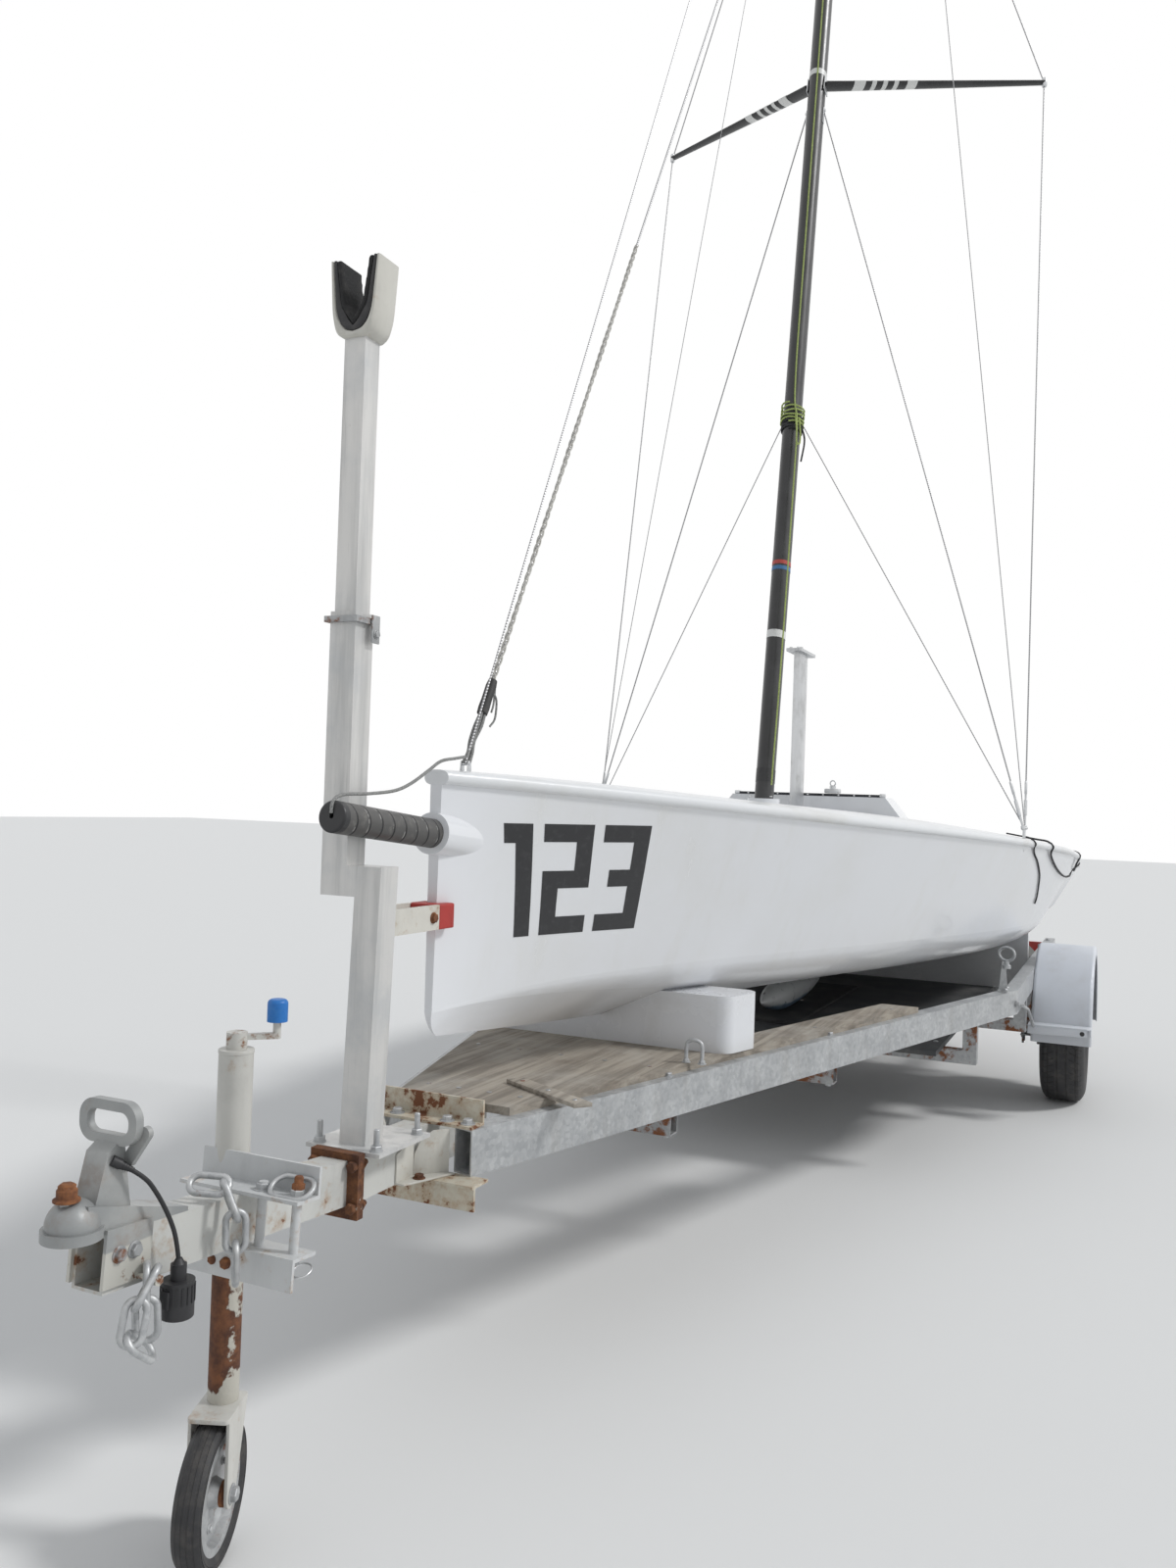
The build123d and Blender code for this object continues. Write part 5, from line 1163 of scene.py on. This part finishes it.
def crutch_layer(name, low, high, ease, material):
    """One layer of the crutch: low and high are its shares of the way from the outer face to the inner."""
    outer = bend([(0, y, z) for y, z in crutch_outer], 0.009)
    inner = bend([(0, y, z) for y, z in crutch_inner], 0.009)
    count = 24
    pairs = []
    for step in range(count + 1):
        far = outer[round(step * (len(outer) - 1) / count)]
        near = inner[round(step * (len(inner) - 1) / count)]
        pairs.append((far.lerp(near, low), far.lerp(near, high)))
    pairs += [(Vector((0, -far.y, far.z)), Vector((0, -near.y, near.z))) for far, near in pairs[-2::-1]]
    eased_half = crutch_half - ease
    section = [(-eased_half, 0), (-crutch_half, 0.25), (-crutch_half, 0.75), (-eased_half, 1)]
    section += [(-x, share) for x, share in section[::-1]]
    rings = []
    for far, near in pairs:
        rings.append([crutch_middle + far.lerp(near, share) + Vector((x, 0, 0)) for x, share in section])
    return Form().skin(rings).make(name, material, "crutch_tube", 50)


crutch_paint = painted("crutch paint", (0.6, 0.585, 0.53), 0.05, 0.34)
crutch_cover = crutch_layer("crutch_shell", 0.0, 0.5, 0.005, crutch_paint)
crutch_layer("crutch_core", 0.5, 1.0, 0.002, rubber("crutch rubber"))
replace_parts(crutch_cover, "mast_crutch")

# Coupling: grey casting with a rusty top bolt, the hand lever, and the galvanised safety chain.
# Below the dome the casting keeps its cream paint, with rust through the chips.
cast = Finish("cast coupling")
cast_stain = cast.noise(15, 7, 0.66).rise(0.5, 0.72)
cast_worn = cast.noise(6, 6, 0.6).rise(0.4, 0.75)
cast_tint = (cast_worn * 0.6).blend((0.3, 0.31, 0.31), (0.5, 0.5, 0.48))
cast_tint = (cast_stain * 0.45).blend(cast_tint, (0.25, 0.16, 0.1))
cast_low = cast.along(2).rise(frame_top + 0.014, frame_top + 0.01)
cast_chips = (cast.noise(14, 8, 0.68) + cast.noise(60, 6) * 0.2).rise(0.66, 0.72)
cast_tint = cast_low.blend(cast_tint, cast_chips.blend((0.56, 0.55, 0.5), (0.19, 0.08, 0.035)))
cast.bump(cast.noise(240, 5, 0.65), 0.35, 0.0008)
cast_rough = cast_stain * 0.2 + 0.46
cast_grey = cast.give(base_color=cast_tint, metallic=0.3 - cast_stain * 0.3, roughness=cast_rough)
dress(cast_grey, "coupling", "coupling_handle")
chain_zinc = galvanised("galvanised chain", 1.02, 0.05)
dress(chain_zinc, "safety_chain")
dome_top = spot(717, 0, 95)
dome_bolt = Form()
dome_collar = [(0.019, 0), (0.019, 0.003), (0.0145, 0.005), (0.0145, 0.016), (0.011, 0.02)]
dome_bolt.turned(dome_top - up * 0.001, up, dome_collar, 24)
dome_bolt.turned(dome_top + up * 0.0185, up, [(0.0125, 0), (0.0125, 0.003), (0.0095, 0.0055)], 6, 0.4)
dome_bolt.make("dome_bolt", rusted("dome rust"))
coupling_bolts = Form()
for reach in (545, 575):
    for side in (1, -1):
        coupling_bolts.bolt(on_bar(reach, side * 36, -30), (0, side, 0), *beam_bolt)
coupling_bolts.make("coupling_bolts", zinc_dark)

# Jockey wheel: its clamp, tube, crank and knob, the rusty leg and the fork with the wheel.
# The tyre is solid rubber with ring grooves, on a zinc rim.
jockey_ahead = 0.3
tube_radius = 0.03
leaf_inset = 0.004
jockey_x = post_x + jockey_ahead
jockey_y = -0.061
dress(painted("clamp paint", (0.6, 0.61, 0.61), 0.07), "jockey_clamp")
tube_paint = painted("tube paint", (0.58, 0.57, 0.53), 0.07, 0.38)
dress(tube_paint, "jockey_tube")
tube_lid = [(0.03, -0.006), (0.031, -0.0052), (0.031, -0.0006), (0.0302, 0.0006), (0.019, 0.0009)]
Form().turned((jockey_x, jockey_y, frame_top + 0.231), up, tube_lid, 40).make("tube_lid", tube_paint)
leg = Finish("leg rust")
leg_scale = leg.noise(38, 8, 0.68).rise(0.35, 0.68)
leg_foot = leg.along(2).rise(0.335, 0.27) * 0.35
leg_side = leg.along(1).rise(-0.056, -0.036) * 0.22
leg_kept = (leg.noise(10, 7, 0.6) * 0.8 + leg.noise(60, 6) * 0.1 + leg_foot + leg_side).rise(0.68, 0.71)
leg_rust = leg_scale.blend((0.075, 0.03, 0.017), (0.19, 0.075, 0.032))
leg.bump(leg.noise(190, 5) * 0.6 + leg_scale * 0.5 + leg_kept * 0.8, 0.7, 0.0014)
leg_tint = leg_kept.blend(leg_rust, (0.5, 0.48, 0.42))
dress(leg.give(base_color=leg_tint, roughness=0.84 - leg_kept * 0.36), "jockey_leg")
crank = Finish("crank and knob")
knob_level = frame_top + 0.277
knob_here = crank.along(2).rise(knob_level - 0.0005, knob_level + 0.0005)
crank_rust = crank.noise(60, 7, 0.66).rise(0.48, 0.66)
crank_metal = crank_rust.blend((0.56, 0.55, 0.51), (0.22, 0.1, 0.045))
knob_blue = (crank.noise(90, 4).rise(0.45, 0.8) * 0.3).blend((0.012, 0.16, 0.5), (0.06, 0.24, 0.52))
crank.bump(crank_rust, 0.4, 0.001)
crank_tint = knob_here.blend(crank_metal, knob_blue)
dress(crank.give(base_color=crank_tint, roughness=crank_rust * 0.2 + 0.42), "jockey_crank")
clamp_reach = (jockey_ahead + tube_radius - leaf_inset - bar_ahead) / cos(bar_tilt) * 1000
bolt_reach = clamp_reach + 30
leaf_face = clamp_reach + 60
bolt_port = 125
clamp_low = -91
clamp_bolts = Form()
for port in (54, bolt_port):
    clamp_bolts.bolt(on_bar(bolt_reach, port, 6), bar_up, 0.021, 0.012, 0.0165)
    clamp_bolts.bolt(on_bar(bolt_reach, port, clamp_low), -bar_up, 0.021, 0.012, 0.0165)
clamp_bolts.make("clamp_nuts", zinc)
rusty = Form()
thread = [(0.0075, 0), (0.0075, 0.02), (0.0058, 0.0225)]
rusty.turned(on_bar(bolt_reach, bolt_port, 17), bar_up, thread, 14)
lock_nut = [(0.0108, 0), (0.0108, 0.008), (0.0096, 0.0095)]
rusty.turned(on_bar(bolt_reach, bolt_port, 18), bar_up, lock_nut, 6, 0.2)
rusty.bolt(on_bar(leaf_face, 14, -113), bar_way, 0.017, 0.007, 0.01)
rusty.bolt(on_bar(leaf_face, -16, -113), bar_way, 0.013, 0.004, 0.008, 0.0)
rusty.make("clamp_rusty_bolts", rusted("clamp rust"))
link_low = on_bar(bolt_reach + 18, 112, 5)
link_high = on_bar(bolt_reach - 19, 112, 31)
link_straight = 0.018
link_turn = 0.0215
link_steps = 48
route = []
for step in range(link_steps + 1):
    angle = 2 * pi * step / link_steps
    along = link_straight if cos(angle) >= 0 else -link_straight
    rise = (link_high - link_low) / 2 * sin(angle)
    route.append((link_low + link_high) / 2 + Vector((0, along + link_turn * cos(angle), 0)) + rise)
Form().tube(route, 0.0044, 12).make("spare_link", chain_zinc)
ring_middle = on_bar(bolt_reach, bolt_port, clamp_low) - bar_up * 0.018 + Vector((0, 0.02, 0))
ring = around(ring_middle, Vector((0.016, 0, -0.006)), Vector((0, 0.016, 0)), 16)
Form().tube(ring + ring[:1], 0.0016, 8).make("clamp_split_ring", steel)
turn = radians(22)
fork_way = Vector((cos(turn), sin(turn), 0))
fork_side = Vector((sin(turn), -cos(turn), 0))
jockey_hub = Vector((jockey_x, jockey_y, 0.125)) + fork_way * 0.045
solid_rubber = Finish("jockey rubber")
hub_x = solid_rubber.along(0) - jockey_hub.x
hub_y = solid_rubber.along(1) - jockey_hub.y
ring_lines = ((hub_x * fork_side.x + hub_y * fork_side.y) * 105 + 0.5).wave()
solid_rubber.bump(ring_lines.rise(0.75, 0.92) * -1, 0.9, 0.003)
ring_dust = (40, 6, 0.62, 0.42, 0.75)
solid_black = solid_rubber.dusted((0.024, 0.024, 0.026), (0.12, 0.11, 0.1), ring_dust, 0.5, (0.15, 0.6))
dress(solid_black, "jockey_tyre")
dress(galvanised("jockey rim zinc", 1.0, 0.12), "jockey_rim")
# the cast fork's own form: its solid with every sharp edge rounded off
cast_fork = Form()
cast_mesh = cast_fork.mesh
cast_mesh.from_mesh(nodes["jockey_fork"].data)
bmesh.ops.remove_doubles(cast_mesh, verts=cast_mesh.verts, dist=0.00002)
bmesh.ops.dissolve_limit(cast_mesh, angle_limit=radians(1), verts=cast_mesh.verts, edges=cast_mesh.edges)
folds = [edge for edge in cast_mesh.edges if len(edge.link_faces) == 2]
sharp = [edge for edge in folds if edge.calc_face_angle(0) > radians(30)]
bmesh.ops.bevel(
    cast_mesh, geom=sharp, offset=0.0025, segments=3, affect="EDGES", profile=0.5, clamp_overlap=True,
)
fork_paint = painted("fork paint", (0.6, 0.59, 0.55), 0.07, 0.36)
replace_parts(cast_fork.make("cast_fork", fork_paint, "jockey_fork", 30), "jockey_fork")
fork_nuts = Form()
spacers = Form()
rim_bolts = Form()
rim_ring = 0.054
for side in (1, -1):
    out = fork_side * side
    fork_nuts.bolt(jockey_hub + out * 0.0362, out, 0.022, 0.011, 0.0165)
    spacers.turned(jockey_hub + out * 0.0195, out, [(0.021, 0), (0.021, 0.006), (0.017, 0.0098)], 22)
    places = around(jockey_hub + out * 0.004, fork_way * rim_ring, up * rim_ring, 5)
    rim_bolts.bolts(places, out, 0.01, 0.006, 0.0075)
fork_nuts.make("jockey_axle_nuts", zinc, "jockey_fork")
spacers.make("jockey_hub_spacers", rusted("axle rust", 0.02), "jockey_fork")
rim_bolts.make("jockey_rim_bolts", zinc, "jockey_wheel")

# Lamp cable: a black lead out of the lever's housing, down to its plug beside the drawbar.
# Its line is a NURBS curve on the same points as the solid's route.
cable_points = [(646, 27, 132), (618, 46, 112), (596, 54, 78), (578, 60, 42), (564, 64, 4), (558, 64, -34)]
cable_diameter = 0.007
cable_curve = bpy.data.curves.new("lamp_cable_lead", "CURVE")
cable_curve.dimensions = "3D"
cable_line = cable_curve.splines.new("NURBS")
cable_line.points.add(len(cable_points) - 1)
for point, place in zip(cable_line.points, cable_points):
    point.co = (*spot(*place), 1)
cable_line.order_u = 3
cable_line.use_endpoint_u = True
cable_line.resolution_u = 16
cable_curve.bevel_depth = cable_diameter / 2
cable_curve.bevel_resolution = 6
cable_curve.use_fill_caps = True
cable_lead = placed("lamp_cable_lead", cable_curve)
cable_skin = plastic("cable skin", (0.016, 0.016, 0.018), 0.5, 500, 0.35)
cable_curve.materials.append(cable_skin)
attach(cable_lead, "boat_on_trailer")
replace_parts(cable_lead, "lamp_cable")
dress(plastic("plug plastic", (0.022, 0.022, 0.024), 0.5, 700, 0.4), "cable_plug")
cable_start = spot(*cable_points[0])
cable_way = spot(*cable_points[1]) - cable_start
relief = [(0.0072, -0.001)]
for rib in range(5):
    thick = 0.0068 - 0.0006 * rib
    foot = rib * 0.004
    relief += [(thick, 0.001 + foot), (thick, 0.0032 + foot), (thick - 0.0012, 0.0034 + foot)]
relief += [(0.0038, 0.022)]
Form().turned(cable_start, cable_way, relief, 24).make("cable_relief", cable_skin)
plug_top = spot(*cable_points[-1])
grip_level = 0.03
grip_radius = 0.0245
rib_half = 0.0016
plug_parts = Form()
for out in around((0, 0, 0), Vector((1, 0, 0)), Vector((0, 1, 0)), 18):
    base = plug_top - up * grip_level + out * grip_radius
    cross = up.cross(out) * rib_half
    high = out * rib_half
    plug_parts.plate([base - cross, base + cross, base + cross + high, base - cross + high], down * 0.026, 0)
neck = [(0.0115, -0.004), (0.0115, 0.0), (0.008, 0.004), (0.0048, 0.01), (0.0044, 0.01)]
plug_parts.turned(plug_top - up * 0.0015, up, neck, 24)
key = [(-0.008, -0.06), (0.008, -0.06), (0.008, -0.034), (-0.008, -0.034)]
plug_parts.plate([plug_top + Vector((0.0235, y, z)) for y, z in key], (0.006, 0, 0), 0.0015)
plug_parts.make("plug_ribs", cable_skin)

# Pads: thin black carpet glued into the crutch, and a red rubber block that takes the bow.
# Both have rounded edges and faces that wear has left a little uneven.
wave_count = 9


def soft_block(name, node, body, material, swell, voxel, cloud):
    """A pad's own form from its solid: rounded, a little swollen or worn, and never one flat face."""
    mesh = nodes[node].data.copy()
    piece = placed(name, mesh)
    mesh.materials.clear()
    fine = piece.modifiers.new("fine", "REMESH")
    fine.mode = "VOXEL"
    fine.voxel_size = voxel
    soft = piece.modifiers.new("soft", "SMOOTH")
    soft.factor = 0.5
    soft.iterations = 4
    made = bpy.data.meshes.new_from_object(piece.evaluated_get(bpy.context.evaluated_depsgraph_get()))
    piece.modifiers.clear()
    piece.data = made
    seeds = random.Random(7)
    waves = []
    for wave in range(wave_count):
        way = Vector((seeds.uniform(-1, 1), seeds.uniform(-1, 1), seeds.uniform(-1, 1))).normalized()
        waves.append((way, seeds.uniform(cloud, 3 * cloud)))
    for vertex in made.vertices:
        height = sum(sin(vertex.co.dot(way) * scale * 2 * pi + scale) for way, scale in waves) / len(waves)
        vertex.co += vertex.normal * (swell + 0.45 * abs(swell) * height)
    made.shade_smooth()
    made.materials.append(material)
    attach(piece, body)
    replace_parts(piece, node)


carpet = Finish("carpet pad")
carpet.bump(carpet.cells(520).rise(0.05, 0.55), 0.9, 0.0016)
carpet_dust = (24, 6, 0.62, 0.42, 0.75)
carpet_black = carpet.dusted((0.02, 0.02, 0.021), (0.085, 0.08, 0.075), carpet_dust, 0.6, (0.05, 0.9))
red_rubber = Finish("red rubber")
red_rubber.bump(red_rubber.noise(260, 3), 0.4, 0.0007)
red_dust = (18, 6, 0.62, 0.42, 0.75)
red_pad = red_rubber.dusted((0.4, 0.028, 0.022), (0.22, 0.035, 0.03), red_dust, 0.5, (0.15, 0.52))
soft_block("crutch_carpet", "crutch_pads", "crutch_tube", carpet_black, 0.0009, 0.0028, 18)
soft_block("bow_pad_block", "bow_pads", "boat_on_trailer", red_pad, 0.0006, 0.0025, 12)

# Floor and surround: a plain pale floor and soft light from a wide sky.
# White is what the camera, glossy metal and clear lenses see past the floor's edge.
surround = bpy.data.worlds.new("surround")
bpy.context.scene.world = surround
surround.use_nodes = True
surround.node_tree.nodes.clear()
sky = Graph(surround.node_tree)
rays = surround.node_tree.nodes.new("ShaderNodeLightPath").outputs
seen, glossy, clear = [Wire(sky, rays[f"Is {kind} Ray"]) for kind in ("Camera", "Glossy", "Transmission")]
sky_plain = sky.node("Background", {}, {"Color": (0.93, 0.96, 1.0), "Strength": 0.56})
sky_white = sky.node("Background", {}, {"Color": (1, 1, 1)})
sky_mixed = sky.node("MixShader", {}, {0: seen.most(glossy).most(clear), 1: sky_plain, 2: sky_white})
sky.node("OutputWorld", {}, {"Surface": sky_mixed}, None)

floor_reach = 40
floor_mesh = bpy.data.meshes.new("floor")
floor_mesh.from_pydata([(x, y, 0) for x, y in corners(floor_reach, floor_reach)], [], [(0, 1, 2, 3)])
floor = placed("floor", floor_mesh)
floor_pale = Finish("pale floor", roughness=0.9)
floor_mesh.materials.append(floor_pale.give(base_color=(0.8, 0.8, 0.79)))

sun_data = bpy.data.lights.new("soft sun", "SUN")
sun_data.energy = 1.5
sun_data.angle = radians(10)
sun = placed("soft sun", sun_data)
sun.rotation_euler = (radians(48), 0, radians(200))
